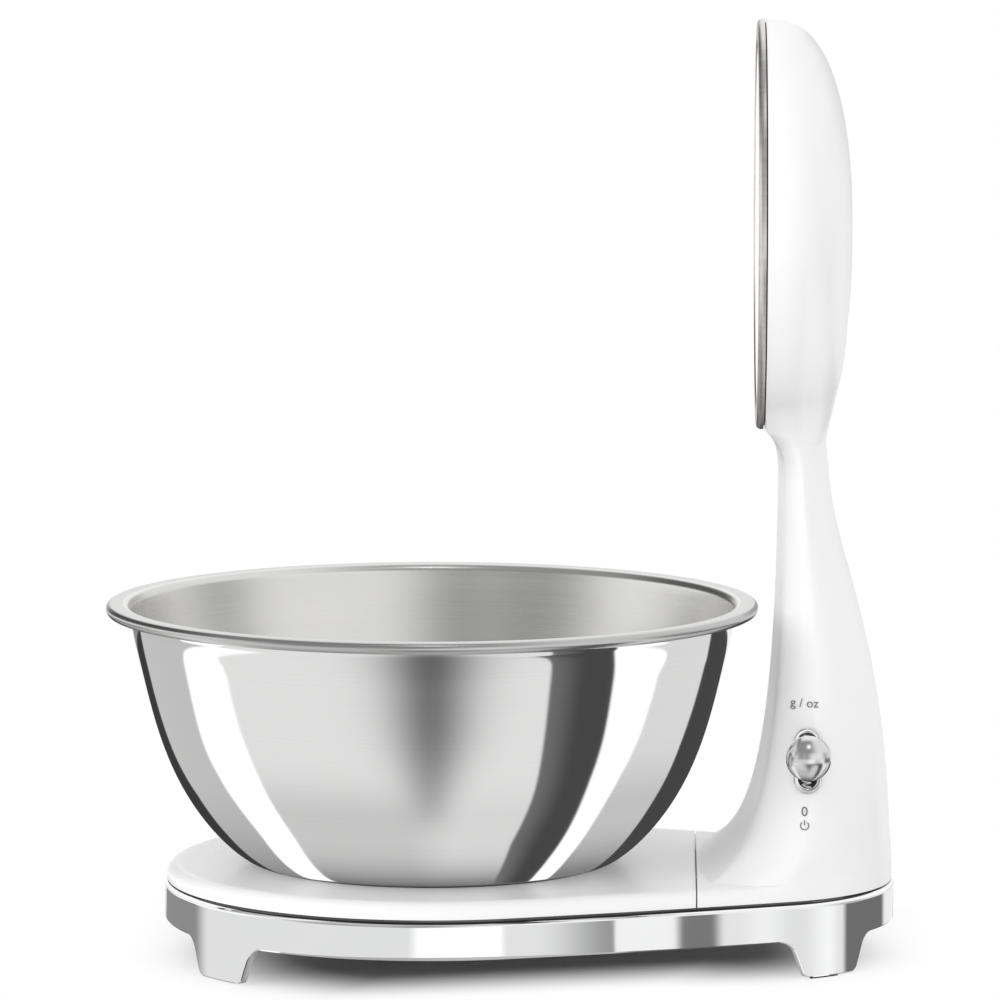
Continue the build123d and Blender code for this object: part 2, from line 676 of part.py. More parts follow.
def column_section(z, wall):
    """Level section of the column at height z, drawn in by wall."""
    if z < PLATFORM_TOP:
        corner = (SEAM_X - TOE_RUN, side_y(SEAM_X - TOE_RUN, edge_inset(z) + wall))
        nose = corner[0] - 1
        tail = TAIL_R - COVER_INSET - wall
        leave = (SIDE_SIN, -SIDE_COS)
        wide = (TAIL_X + tail * SIDE_COS, tail * SIDE_SIN)
        quarter = (TAIL_X + tail * cos(pi / 4.5), tail * sin(pi / 4.5))
        back = TAIL_BACK_X - wall
    else:
        nose = front_x(z) + wall
        back = back_x(z) - wall
        half = half_width(z) - wall
        crease = half * (CREASE_HIGH + CREASE_SPREAD * exp(-(z - PLATFORM_TOP) / FLARE_SHORT))
        bow = FRONT_BOW + FRONT_BOW_LOW * exp(-(z - PLATFORM_TOP) / (2 * FLARE_SHORT))
        corner = (nose + bow, crease)
        reach = back - corner[0]
        leave = (CREASE_TURN * reach, half - crease)
        wide = (corner[0] + WIDE_AT * reach, half)
        quarter = (corner[0] + ROUND_AT * reach, half * ROUND_Y)
    edges = [
        ThreePointArc((corner[0], -corner[1]), (nose, 0), corner),
        Spline([corner, wide, quarter, (back, 0)], tangents=[leave, (0, -1)]),
        Spline(
            [(back, 0), (quarter[0], -quarter[1]), (wide[0], -wide[1]), (corner[0], -corner[1])],
            tangents=[(0, -1), (-leave[0], leave[1])],
        ),
    ]
    return Pos(0, 0, z) * make_face(edges)


def column_levels():
    low = [COVER_LOW, PLATFORM_TOP - EDGE_LEVEL_LOW, PLATFORM_TOP - EDGE_LEVEL_HIGH]
    toe = [PLATFORM_TOP + TOE_H * s for s in (0.03, 0.08, 0.15, 0.26, 0.44, 0.68, 1)]
    shaft = [PLATFORM_TOP + NECK_RISE * s for s in (0.5, 0.66, 0.83, 0.95)]
    head = [NECK_Z + (HEAD_Z - NECK_Z) * s for s in (0.05, 0.18, 0.32, 0.46, 0.6)]
    return low + toe + shaft + head


def column_body(wall):
    """Outside of the column or, drawn in by wall, its hollow, which drops straight from above the toe."""
    levels = [z for z in column_levels() if not wall or z > PLATFORM_TOP + wall]
    sections = [column_section(z, wall) for z in levels]
    body = loft(sections)
    if wall:
        body += extrude(sections[0], levels[0] - COVER_LOW, dir=(0, 0, -1))
    return body & beyond_seam(wall)


def head_body(wall):
    """Round head: a disc with a swollen back, as a turned shape about the display's axis."""
    r, depth = HEAD_R - wall, HEAD_DEPTH - wall
    shares = (1, 0.985, 0.94, 0.84, 0.68, 0.45, 0.22, 0)
    points = []
    for s in shares:
        swell = (1 - s**HEAD_ROUND_IN) ** (1 / HEAD_ROUND_OUT)
        points.append((HEAD_FRONT_X + depth * swell, 0, HEAD_Z + r * s))
    centre = (HEAD_FRONT_X, 0, HEAD_Z)
    edges = [
        Spline(points, tangents=[(1, 0, 0), (0, 0, -1)]),
        Line(points[-1], centre),
        Line(centre, points[0]),
    ]
    return revolve(make_face(edges), Axis((0, 0, HEAD_Z), (1, 0, 0)))


# The lever's own frame, on the column's side: x along X, y up the side and z straight out
SIDE_SLOPE = (half_width(LEVER_Z + 1) - half_width(LEVER_Z - 1)) / 2
LEVER_TILT = atan(-SIDE_SLOPE)
LEVER_AT = Plane(
    (LEVER_X, -half_width(LEVER_Z), LEVER_Z),
    x_dir=(1, 0, 0),
    z_dir=(0, -cos(LEVER_TILT), sin(LEVER_TILT)),
)
HOUSING_FRONT = -OVAL_SINK - COLLAR_L


def oval(width, height, low, high):
    """Upright oval bar in the lever's frame, from low to high along the outward direction."""
    face = SlotOverall(height, width, rotation=90)
    return LEVER_AT * Pos(0, 0, low) * extrude(face, high - low)


def lever_box(x, y0, y1, z0, z1):
    """Box in the lever's frame, x to each side."""
    return LEVER_AT * block(-x, x, y0, y1, z0, z1)


def cross_pin(r, length, z):
    """Round bar along X in the lever's frame."""
    return LEVER_AT * Pos(0, 0, z) * Rot(0, 90, 0) * Cylinder(r, length)


def column_shell():
    """White moulding of column, neck and head, open below and at the display."""
    outer = column_body(0) + head_body(0)
    inner = column_body(COVER_WALL) + head_body(COVER_WALL)
    shell = outer - inner
    shell -= disc(HEAD_FRONT_X - HEAD_DEPTH, HEAD_FRONT_X + CARRIER_D + FIT, CARRIER_R + GAP)
    for x, y in COLUMN_POSTS:
        shell += post(x, y, BOSS_R, COVER_LOW, COVER_LOW + BOSS_H) & outer
    for y, z in display_screw_places():
        start = HEAD_FRONT_X + CARRIER_D + FIT
        shell += (Pos(start, y, z) * Rot(0, 90, 0) * screw_boss(HEAD_DEPTH)) & outer
    for x, y in COLUMN_POSTS:
        shell -= post(x, y, SCREW_R + FIT / 2, COVER_LOW, COVER_LOW + BOSS_H - SCREW_TIP_IN)
    for y, z in display_screw_places():
        start = HEAD_FRONT_X + CARRIER_D
        shell -= Pos(start, y, z) * Rot(0, 90, 0) * screw_hole(DISPLAY_SCREW_L + SCREW_TIP_IN)
    collar = OVAL_W - 2 * OVAL_LIP + 2 * FIT
    shell -= oval(collar, OVAL_H - 2 * OVAL_LIP + 2 * FIT, HOUSING_FRONT, OVAL_PROUD)
    shell -= oval(OVAL_W + 2 * FIT, OVAL_H + 2 * FIT, -OVAL_SINK, 4 * OVAL_PROUD)
    return shell


def screw_boss(length):
    return Cylinder(SCREW_HEAD_R, length, align=ON_END)


def screw_hole(length):
    return Cylinder(SCREW_R + FIT / 2, length, align=ON_END)


def display_screw_places():
    turn = [pi / 4 + i * pi / 2 for i in range(4)]
    return [(DISPLAY_SCREW_R * cos(a), HEAD_Z + DISPLAY_SCREW_R * sin(a)) for a in turn]


# Display, from the front: ring, lens, seal, panel, board, carrier

SEAL_X = HEAD_FRONT_X - SEAL_T
RING_X = SEAL_X - RING_T
LENS_R = RING_R - RING_W - FIT
PANEL_R = RING_R - SEAL_W - FIT


def display_ring():
    """Bright ring round the lens, rounded at its front."""
    ring = disc(RING_X, SEAL_X, RING_R, RING_R - RING_W)
    front = ring.edges().filter_by(GeomType.CIRCLE).group_by(Axis.X)[0]
    return fillet(front.sort_by(SortBy.RADIUS)[-1:], RING_EDGE_R)


def display_seal():
    return disc(SEAL_X, HEAD_FRONT_X, HEAD_R - 2 * SEAL_T, RING_R - SEAL_W)


def display_lens():
    return disc(SEAL_X - LENS_T, SEAL_X, LENS_R)


def display_panel():
    return disc(SEAL_X + FIT, SEAL_X + FIT + PANEL_T, PANEL_R)


def display_board():
    start = SEAL_X + 2 * FIT + PANEL_T
    return disc(start, start + BOARD_T, CARRIER_R - 2 * CARRIER_T)


def display_carrier():
    """Dark cup that holds the panel and the board in the head."""
    end = HEAD_FRONT_X + CARRIER_D
    cup = disc(HEAD_FRONT_X, end, CARRIER_R, CARRIER_R - CARRIER_T)
    cup += disc(HEAD_FRONT_X, HEAD_FRONT_X + PANEL_T - SEAL_T, CARRIER_R, PANEL_R + FIT)
    cup += disc(end - CARRIER_T, end, CARRIER_R, DISPLAY_SCREW_R - 2 * SCREW_HEAD_R)
    for y, z in display_screw_places():
        cup -= Pos(end - CARRIER_T, y, z) * Rot(0, 90, 0) * screw_hole(2 * CARRIER_T)
    return cup


def display_screws():
    seat = HEAD_FRONT_X + CARRIER_D - CARRIER_T
    made = []
    for y, z in display_screw_places():
        at = Pos(seat, y, z) * Rot(0, 90, 0)
        head = Pos(0, 0, -SCREW_HEAD_H) * screw_boss(SCREW_HEAD_H)
        shank = Cylinder(SCREW_R, CARRIER_T + DISPLAY_SCREW_L, align=ON_END)
        made.append(at * (head + shank))
    return group(made)


# Lever and switch

def lever_escutcheon():
    """Oval chrome bezel, with a collar through the wall and an upright slot for the lever."""
    bezel = oval(OVAL_W, OVAL_H, -OVAL_SINK, OVAL_PROUD)
    bezel += oval(OVAL_W - 2 * OVAL_LIP, OVAL_H - 2 * OVAL_LIP, HOUSING_FRONT, -OVAL_SINK)
    return bezel - oval(SLOT_W, SLOT_H, HOUSING_FRONT, OVAL_PROUD)


def lever():
    """Ball on a stem, with a hub on the pivot pin and a tail into the slider."""
    stem_l = BALL_OUT + PIVOT_IN
    stem = Pos(0, 0, -PIVOT_IN) * Cylinder(STEM_R, stem_l, align=ON_END)
    tail = Pos(0, 0, -PIVOT_IN - TAIL_L) * Cylinder(TAIL_ROD_R, TAIL_L, align=ON_END)
    solid = LEVER_AT * (stem + tail + Pos(0, 0, BALL_OUT) * Sphere(BALL_R))
    solid += LEVER_AT * Pos(0, 0, -PIVOT_IN - TAIL_L) * Sphere(TIP_R)
    solid += cross_pin(HUB_R, SWITCH_W - 2 * SWITCH_WALL - 2 * GAP, -PIVOT_IN)
    return solid - cross_pin(PIN_R + PIN_PLAY, SWITCH_W, -PIVOT_IN)


def lever_pin():
    return cross_pin(PIN_R, SWITCH_W - 2 * FIT, -PIVOT_IN)


HOUSING_BACK = HOUSING_FRONT - SWITCH_D


def switch_housing():
    """Box behind the wall that carries the pivot pin and guides the slider."""
    housing = lever_box(SWITCH_W / 2, -SWITCH_H / 2, SWITCH_H / 2, HOUSING_BACK, HOUSING_FRONT)
    inside = SWITCH_H / 2 - SWITCH_WALL
    floor = HOUSING_BACK + SWITCH_WALL
    housing -= lever_box(SWITCH_W / 2 - SWITCH_WALL, -inside, inside, floor, HOUSING_FRONT)
    return housing - cross_pin(PIN_R + FIT / 5, SWITCH_W, -PIVOT_IN)


def switch_slider():
    """Block that the lever's tail pushes up and down in the housing."""
    tip = -PIVOT_IN - TAIL_L
    back = HOUSING_BACK + SWITCH_WALL + GAP
    slider = lever_box(SLIDER_HALF, -SLIDER_HALF, SLIDER_HALF, back, tip + TIP_R + GAP)
    hollow = TIP_R + FIT
    return slider - lever_box(hollow, -hollow, hollow, tip - TIP_R - GAP, tip + TAIL_L)


def return_springs():
    """A coil spring above the slider and one below, which bring the lever back to the middle."""
    reach = SWITCH_H / 2 - SWITCH_WALL - SLIDER_HALF - 2 * SPRING_WIRE_R - 2 * FIT
    coil = Helix(pitch=reach / SPRING_TURNS, height=reach, radius=SPRING_R)
    wire = Plane(coil @ 0, z_dir=coil % 0) * Circle(SPRING_WIRE_R)
    spring = sweep(wire, path=coil, is_frenet=True)
    middle = (HOUSING_BACK + SWITCH_WALL + GAP - PIVOT_IN - TAIL_L + TIP_R) / 2
    start = SLIDER_HALF + SPRING_WIRE_R + FIT
    up = LEVER_AT * Pos(0, start, middle) * Rot(-90, 0, 0) * spring
    down = LEVER_AT * Pos(0, -start, middle) * Rot(90, 0, 0) * spring
    return up, down


def switch_board():
    """Small board on the back of the switch housing."""
    back = HOUSING_BACK - FIT
    return lever_box(SWITCH_W / 2, -SWITCH_H / 2, SWITCH_H / 2, back - BOARD_T, back)


# Main board and wires

def main_board():
    """Upright board on the battery box, with its chips on the side that faces the display."""
    x0, y0 = MAIN_BOARD_X, MAIN_BOARD_Y
    board = block(x0, x0 + BOARD_T, y0, y0 + MAIN_BOARD_W, BOARD_LOW, BOARD_LOW + MAIN_BOARD_H)
    chip_y, chip_z = y0 + CHIP_W, BOARD_LOW + CHIP_W
    board += block(x0 - BOARD_T, x0, chip_y, chip_y + CHIP_W, chip_z, chip_z + CHIP_W)
    board += block(x0 - 2 * BOARD_T, x0, LOOM_Y - CHIP_W / 2, LOOM_Y + CHIP_W / 2, *plug_heights())
    return board


def plug_heights():
    top = BOARD_LOW + MAIN_BOARD_H - PLUG_H
    return top - PLUG_H, top


def wire_loom():
    """Wires from the main board up through the neck to the display board."""
    x0 = MAIN_BOARD_X - BOARD_T
    x1 = (NECK_FRONT_X + NECK_BACK_X) / 2
    x2 = SEAL_X + 2 * FIT + PANEL_T + BOARD_T
    top = HEAD_Z - CARRIER_R / 2
    start = plug_heights()[1]
    corners = [(x0, start), (x0, start + LOOM_RISE), (x1, NECK_Z - LOOM_BEND_DROP), (x1, top), (x2, top)]
    radii = []
    for a, b, c in zip(corners, corners[1:], corners[2:]):
        one = Vector(b[0] - a[0], 0, b[1] - a[1])
        two = Vector(c[0] - b[0], 0, c[1] - b[1])
        half_turn = radians(one.get_angle(two)) / 2
        radii.append(LOOM_ROUND * min(one.length, two.length) * cos(half_turn) / sin(half_turn))
    path = FilletPolyline([(x, LOOM_Y, z) for x, z in corners], radius=radii)
    section = Plane(path @ 0, z_dir=path % 0) * Circle(LOOM_R)
    return sweep(section, path=path)


def parts():
    made = {
        "base_skirt": base_skirt(),
        "base_frame": base_frame(),
        "bottom_cover": bottom_cover(),
        "cover_screws": cover_screws(),
        "battery_door": battery_door(),
        "battery_box": battery_box(),
        "battery_cells": battery_cells(),
        "battery_contacts": battery_contacts(),
        "platform_cover": platform_cover(),
        "platform_trim": trim() & before_seam(0),
        "platform_screws": platform_screws(),
        "load_plate": load_plate(),
        "load_cell": load_cell(),
        "cell_spacer_lower": cell_spacer(CELL_FIXED, FRAME_FLOOR, CELL_LOW),
        "cell_spacer_upper": cell_spacer(CELL_FREE, CELL_TOP, PLATE_LOW),
        "cell_screws_fixed": cell_screws_fixed(),
        "cell_screws_free": cell_screws_free(),
        "bowl": bowl(),
        "column_shell": column_shell(),
        "column_trim": trim() & beyond_seam(0),
        "column_screws": column_screws(),
        "display_ring": display_ring(),
        "display_seal": display_seal(),
        "display_lens": display_lens(),
        "display_panel": display_panel(),
        "display_board": display_board(),
        "display_carrier": display_carrier(),
        "display_screws": display_screws(),
        "lever_escutcheon": lever_escutcheon(),
        "lever": lever(),
        "lever_pin": lever_pin(),
        "switch_housing": switch_housing(),
        "switch_slider": switch_slider(),
        "return_spring_upper": return_springs()[0],
        "return_spring_lower": return_springs()[1],
        "switch_board": switch_board(),
        "main_board": main_board(),
        "wire_loom": wire_loom(),
    }
    made.update(foot_pads())
    return made


os.makedirs("parts", exist_ok=True)
for name, solid in parts().items():
    export_step(solid, f"parts/{name}.step")
pivot = LEVER_AT.from_local_coords(Vector(0, 0, -PIVOT_IN))
print("lever tilt", round(degrees(LEVER_TILT), 3), "pivot", pivot)
print("door hinge", round(HINGE_Y, 3), round(HINGE_Z, 3))
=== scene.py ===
"""Looks of the kitchen scale: smooth shells, chrome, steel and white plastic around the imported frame."""
import json
import math

import bmesh
import bpy
import numpy as np
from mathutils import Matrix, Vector


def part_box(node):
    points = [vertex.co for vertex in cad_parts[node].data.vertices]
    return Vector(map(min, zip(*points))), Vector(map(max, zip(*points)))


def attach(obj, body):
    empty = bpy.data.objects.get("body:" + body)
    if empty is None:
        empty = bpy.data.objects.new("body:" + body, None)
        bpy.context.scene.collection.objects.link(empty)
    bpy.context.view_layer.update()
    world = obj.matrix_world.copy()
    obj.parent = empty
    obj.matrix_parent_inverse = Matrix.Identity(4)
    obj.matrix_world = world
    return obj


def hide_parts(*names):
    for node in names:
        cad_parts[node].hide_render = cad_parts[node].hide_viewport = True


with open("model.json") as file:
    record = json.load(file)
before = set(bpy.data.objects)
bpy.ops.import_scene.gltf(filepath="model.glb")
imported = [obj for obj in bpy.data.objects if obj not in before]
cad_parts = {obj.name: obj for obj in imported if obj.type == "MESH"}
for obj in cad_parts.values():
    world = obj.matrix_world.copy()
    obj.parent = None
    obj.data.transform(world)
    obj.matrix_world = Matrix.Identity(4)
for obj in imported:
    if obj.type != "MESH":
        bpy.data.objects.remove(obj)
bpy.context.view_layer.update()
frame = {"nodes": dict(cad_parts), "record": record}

# Sizes are in millimetres, and meshes are made in metres
MM = 0.001
PI = math.pi


def span(node):
    """Lowest and highest corner of a node of the frame, in millimetres."""
    low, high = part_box(node)
    return np.array(low) / MM, np.array(high) / MM


# Places and main sizes, read from the frame
bowl_low, bowl_high = span("bowl")
skirt_low, skirt_high = span("base_skirt")
cover_low, cover_high = span("platform_cover")
ring_low, ring_high = span("display_ring")
lens_low, lens_high = span("display_lens")
seal_low, seal_high = span("display_seal")

BOWL_X = (bowl_low[0] + bowl_high[0]) / 2
RIM_R = (bowl_high[1] - bowl_low[1]) / 2
RIM_TOP = bowl_high[2]
PLATFORM_TOP = bowl_low[2]
BOWL_END_R = 90.4
TAIL_R = 56.0
TAIL_X = skirt_high[0] - TAIL_R
SKIRT_TOP = skirt_high[2]
FOOT_LOW = 0.5 * skirt_low[2]
TRIM_LOW = span("platform_trim")[0][2]
COVER_LOW = cover_low[2]
PLATFORM_SEAM = cover_high[0]
COLUMN_SEAM = span("column_shell")[0][0]
HEAD_Z = (ring_low[2] + ring_high[2]) / 2
RING_R = (ring_high[2] - ring_low[2]) / 2
LENS_R = (lens_high[2] - lens_low[2]) / 2
SEAL_R = (seal_high[2] - seal_low[2]) / 2
HEAD_FRONT_X = seal_high[0]

# Base: skirt, feet, trims and covers
SKIRT_LOW = 13.0
SKIRT_WALL = 3.0
SKIRT_BEVEL = 1.3
SKIRT_EDGE = 0.4
FOOT_DEPTH = 9.0
FOOT_ROUND_LOW = 2.8
FOOT_ROUND_HIGH = 7.0
BOWL_FOOT = (math.radians(40.3), 21.6, 6.0)
TAIL_FOOT = (math.radians(51.8), 21.0, 6.0)
COVER_INSET = 0.6
COVER_WALL = 2.5
COVER_EDGE_R = 4.5
COVER_TOP_T = 2.6
SEAM_SOFT = 0.4
TRIM_W = 2.0
TRIM_EDGE = 0.15
TRIM_GAP = 0.3
SIDE_ARC_R = 1200.0
ARCH_AT = 8.0
ARCH_SPREAD = 42.0

# Bowl
BOWL_WALL_R = 102.0
BOWL_WALL_H = 81.0
BOWL_LIP_Z = 115.4
BOWL_BEND_Z = 104.0
BOWL_SHEET = 0.8
BEAD_R = 1.9
LIP_CREST = 3.4
WALL_SWELL = 19.745
WALL_LEAN = 19.217
LIP_BEND_R = 130.0

# Column, neck and head
NECK_Z = 175.0
NECK_FRONT_X = 94.0
NECK_BACK_X = 109.4
NECK_HALF_W = 23.5
NECK_FILLET = 30.0
HEAD_R = 68.4
HEAD_DEPTH = 29.1
FLARE_LONG = 36.0
FLARE_SHORT = 8.0
CHIN_LOW = 173.0
CHIN_H = 6.2
BACK_LEAN = [(0, 1), (0.19, 0.935), (0.335, 0.843), (0.48, 0.69), (0.67, 0.4), (0.76, 0.24)]
BACK_LEAN += [(0.86, 0.1), (1, 0)]
KEEL = [(0, 0), (0.1, 0.19), (0.166, 0.325), (0.23, 0.444), (0.295, 0.58), (0.361, 0.675), (0.426, 0.75)]
KEEL += [(0.491, 0.8), (0.556, 0.84), (0.686, 0.94), (0.8, 0.982), (1, 1)]
SIDE_LEAN = 1.05
BACK_ROUND = 1.48
HEAD_ROUND_IN = 2.2
HEAD_ROUND_OUT = 2.73
CREASE_SHARE = 0.74
TOE_SPREAD = 0.22
FRONT_BOW = 2.2
TOE_BOW = 2.5
WIDEST_AT = 0.38

# Lever and its bezel
LEVER_X = 103.0
LEVER_Z = 72.5
OVAL_W = 9.3
OVAL_H = 21.7
OVAL_LIP = 1.1
OVAL_SINK = 0.6
OVAL_PROUD = 0.9
COLLAR_L = 9.0
SLOT_W = 6.2
SLOT_H = 18.4
BALL_R = 7.5
BALL_OUT = 14.0
STEM_R = 2.0
PIVOT_IN = 13.0
HUB_R = 2.6
HUB_L = 9.4
TAIL_L = 6.0
TAIL_ROD_R = 0.8
TIP_R = 1.2
OVAL_STEPS = 72
MARKS = (("g / oz", 91.0, 4.1), ("0", 55.8, 4.4))
SIGN_Z = 51.4

# Display ring
RING_W = 7.2
RING_EDGE_R = 1.8

SIDE_COS = (BOWL_END_R - TAIL_R) / (TAIL_X - BOWL_X)
SIDE_SIN = math.sqrt(1 - SIDE_COS**2)

# Centre of the large arc of the base's side, which touches both end circles, and where it leaves them
ARC_TO_BOWL = SIDE_ARC_R - BOWL_END_R
ARC_TO_TAIL = SIDE_ARC_R - TAIL_R
ARC_X = (BOWL_X + TAIL_X) / 2 - (ARC_TO_TAIL**2 - ARC_TO_BOWL**2) / (2 * (TAIL_X - BOWL_X))
ARC_Y = math.sqrt(ARC_TO_BOWL**2 - (ARC_X - BOWL_X) ** 2)
BOWL_LEAN = math.atan2(BOWL_X - ARC_X, ARC_Y)
TAIL_LEAN = math.atan2(TAIL_X - ARC_X, ARC_Y)


# Curves

def smooth(t):
    """Rises from 0 to 1 with level ends as t goes from 0 to 1."""
    t = np.clip(t, 0, 1)
    return t * t * (3 - 2 * t)


def eased(stops, share):
    """Smooth curve through (share, value) stops: cubic spans along the chords of their neighbours."""
    t, v = np.array(stops, float).T
    slope = np.gradient(v, t)
    share = np.clip(share, t[0], t[-1])
    i = np.clip(np.searchsorted(t, share, side="right") - 1, 0, len(t) - 2)
    step = t[i + 1] - t[i]
    u = (share - t[i]) / step
    rise = v[i] * (1 + 2 * u) * (1 - u) ** 2 + v[i + 1] * u * u * (3 - 2 * u)
    return rise + step * u * (1 - u) * (slope[i] * (1 - u) - slope[i + 1] * u)


def hermite(start, start_pull, end, end_pull, count):
    """Cubic from start to end that leaves and arrives along the two pulls."""
    u = np.linspace(0, 1, count)[:, None]
    curve = np.array(start) * (1 + 2 * u) * (1 - u) ** 2 + np.array(end) * u * u * (3 - 2 * u)
    return curve + np.array(start_pull) * u * (1 - u) ** 2 - np.array(end_pull) * u * u * (1 - u)


# Meshes

def add_mesh(name, points, faces, materials, smooth_to=35.0, finish=None):
    """Object from points in millimetres: welds seams and poles, turns faces out, keeps sharp edges."""
    mesh = bpy.data.meshes.new(name)
    mesh.from_pydata((np.asarray(points) * MM).tolist(), [], faces)
    if finish is not None:
        mesh.polygons.foreach_set("material_index", finish)
    made = bmesh.new()
    made.from_mesh(mesh)
    bmesh.ops.remove_doubles(made, verts=made.verts, dist=2e-7)
    bmesh.ops.dissolve_degenerate(made, edges=made.edges, dist=1e-7)
    bmesh.ops.recalc_face_normals(made, faces=made.faces)
    made.to_mesh(mesh)
    made.free()
    mesh.shade_smooth()
    mesh.set_sharp_from_angle(angle=math.radians(smooth_to))
    for material in materials:
        mesh.materials.append(material)
    piece = bpy.data.objects.new(name, mesh)
    bpy.context.scene.collection.objects.link(piece)
    return piece


def grid_faces(rows, cols, wrap_rows=False, wrap_cols=False, caps=()):
    """Quads between neighbouring rows and columns of a grid, and a face over each row in caps."""
    index = np.arange(rows * cols).reshape(rows, cols)
    ends = [index[row].tolist() for row in caps]
    if wrap_cols:
        index = np.concatenate([index, index[:, :1]], 1)
    if wrap_rows:
        index = np.concatenate([index, index[:1]], 0)
    quads = np.stack([index[:-1, :-1], index[:-1, 1:], index[1:, 1:], index[1:, :-1]], -1)
    return quads.reshape(-1, 4).tolist() + ends


def grid_piece(name, points, materials, smooth_to=35.0, finish=None, **joins):
    """Object from a grid of points (rows x columns x 3), with rows or columns joined up or capped."""
    faces = grid_faces(*points.shape[:2], **joins)
    return add_mesh(name, points.reshape(-1, 3), faces, materials, smooth_to, finish)


def level_line(path, z):
    """A flat path of (x, y) points, laid at height z."""
    return np.column_stack([path, np.full(len(path), z)])


def face_values(mesh, what):
    """The normal or the centre of each face: faces x 3."""
    values = np.zeros(len(mesh.polygons) * 3)
    mesh.polygons.foreach_get(what, values)
    return values.reshape(-1, 3)


def shaped(piece):
    """A new mesh of the piece as its modifiers make it."""
    view = bpy.context.evaluated_depsgraph_get()
    return bpy.data.meshes.new_from_object(piece.evaluated_get(view))


def take_mesh(piece, mesh):
    """Gives the piece this mesh in place of its own mesh and modifiers."""
    piece.modifiers.clear()
    old = piece.data
    piece.data = mesh
    bpy.data.meshes.remove(old)


def fixed_dark(piece):
    """The piece is an extra one, fixed to the base and hidden from glossy rays."""
    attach(piece, "base")
    piece.visible_glossy = False


def stand_for(piece, node, body):
    """The piece takes the place of a node of the frame, on the same body, and is seen by glossy rays only
    if it is the bowl.
    """
    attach(piece, body)
    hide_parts(node)
    piece.visible_glossy = node == "bowl"
    return piece


def turned(profile, steps):
    """A profile of (radius, height) carried round the z axis: steps x points x 3."""
    turn = np.linspace(0, 2 * PI, steps, endpoint=False)[:, None]
    radius, height = np.array(profile).T
    return np.stack([radius * np.cos(turn), radius * np.sin(turn), height + 0 * turn], -1)


def display_piece(name, profile, material, closed=True):
    """Shape turned about the display's axis from a profile of (radius, place along X)."""
    round_z = turned(profile, 240)
    points = np.stack([round_z[..., 2], round_z[..., 1], round_z[..., 0] + HEAD_Z], -1)
    return grid_piece(name, points, [material], wrap_rows=True, wrap_cols=closed)


# Shader maths

class Tone:
    """A shader socket. Plain operators on it add Math nodes to its tree."""

    def __init__(self, tree, socket=None):
        self.tree = tree
        self.socket = socket

    def node(self, kind, settings=None, links=None, output=0):
        """A new node of this kind: its settings first, then values or links for its sockets."""
        made = self.tree.nodes.new(kind)
        for name, value in (settings or {}).items():
            if name == "stops":
                ramp = made.color_ramp.elements
                ramp.remove(ramp[1])
                ramp[0].position = value[0][0]
                ramp[0].color = (*value[0][1], 1)
                for place, tint in value[1:]:
                    ramp.new(place).color = (*tint, 1)
            else:
                setattr(made, name, value)
        for name, value in (links or {}).items():
            if isinstance(value, Tone):
                self.tree.links.new(value.socket, made.inputs[name])
            else:
                made.inputs[name].default_value = value
        return Tone(self.tree, made.outputs[output])

    def math(self, operation, *values):
        links = dict(enumerate((self, *values)))
        return self.node("ShaderNodeMath", {"operation": operation}, links)

    def __add__(self, other):
        return self.math("ADD", other)

    __radd__ = __add__

    def __mul__(self, other):
        return self.math("MULTIPLY", other)

    __rmul__ = __mul__

    def __sub__(self, other):
        return self.math("SUBTRACT", other)

    def __rsub__(self, other):
        return self * -1.0 + other

    def __truediv__(self, other):
        return self.math("DIVIDE", other)

    def __pow__(self, other):
        return self.math("POWER", other)

    def rise(self, low, high):
        """0 below low and 1 above high, with a smooth step between."""
        settings = {"interpolation_type": "SMOOTHSTEP", "data_type": "FLOAT"}
        links = {"Value": self, "From Min": low, "From Max": high}
        return self.node("ShaderNodeMapRange", settings, links)

    def bell(self, middle, width):
        """1 at middle, falling away as a bell curve of this width."""
        off = (self - middle) / width
        return (off * off * -1.0).math("EXPONENT")

    def curve(self, stops):
        """A soft curve along (input, value) stops, level beyond the first and the last."""
        first, reach = stops[0][0], stops[-1][0] - stops[0][0]
        least = min(value for place, value in stops)
        depth = max(value for place, value in stops) - least
        tints = [((place - first) / reach, ((value - least) / depth,) * 3) for place, value in stops]
        ramp = self.node("ShaderNodeValToRGB", {"stops": tints}, {0: (self - first) / reach})
        ramp.socket.node.color_ramp.interpolation = "B_SPLINE"
        return ramp * depth + least

    def stepped(self, first, *edges):
        """A first level, then at each (start, end, level) a smooth step to the next level."""
        start, end, level = edges[0]
        made = self.rise(start, end) * (level - first) + first
        for start, end, level in edges[1:]:
            made = made.mix(self.rise(start, end), level)
        return made

    def mix(self, share, other):
        """From this value to another as share goes from 0 to 1."""
        return self + (other - self if isinstance(other, Tone) else self * -1.0 + other) * share


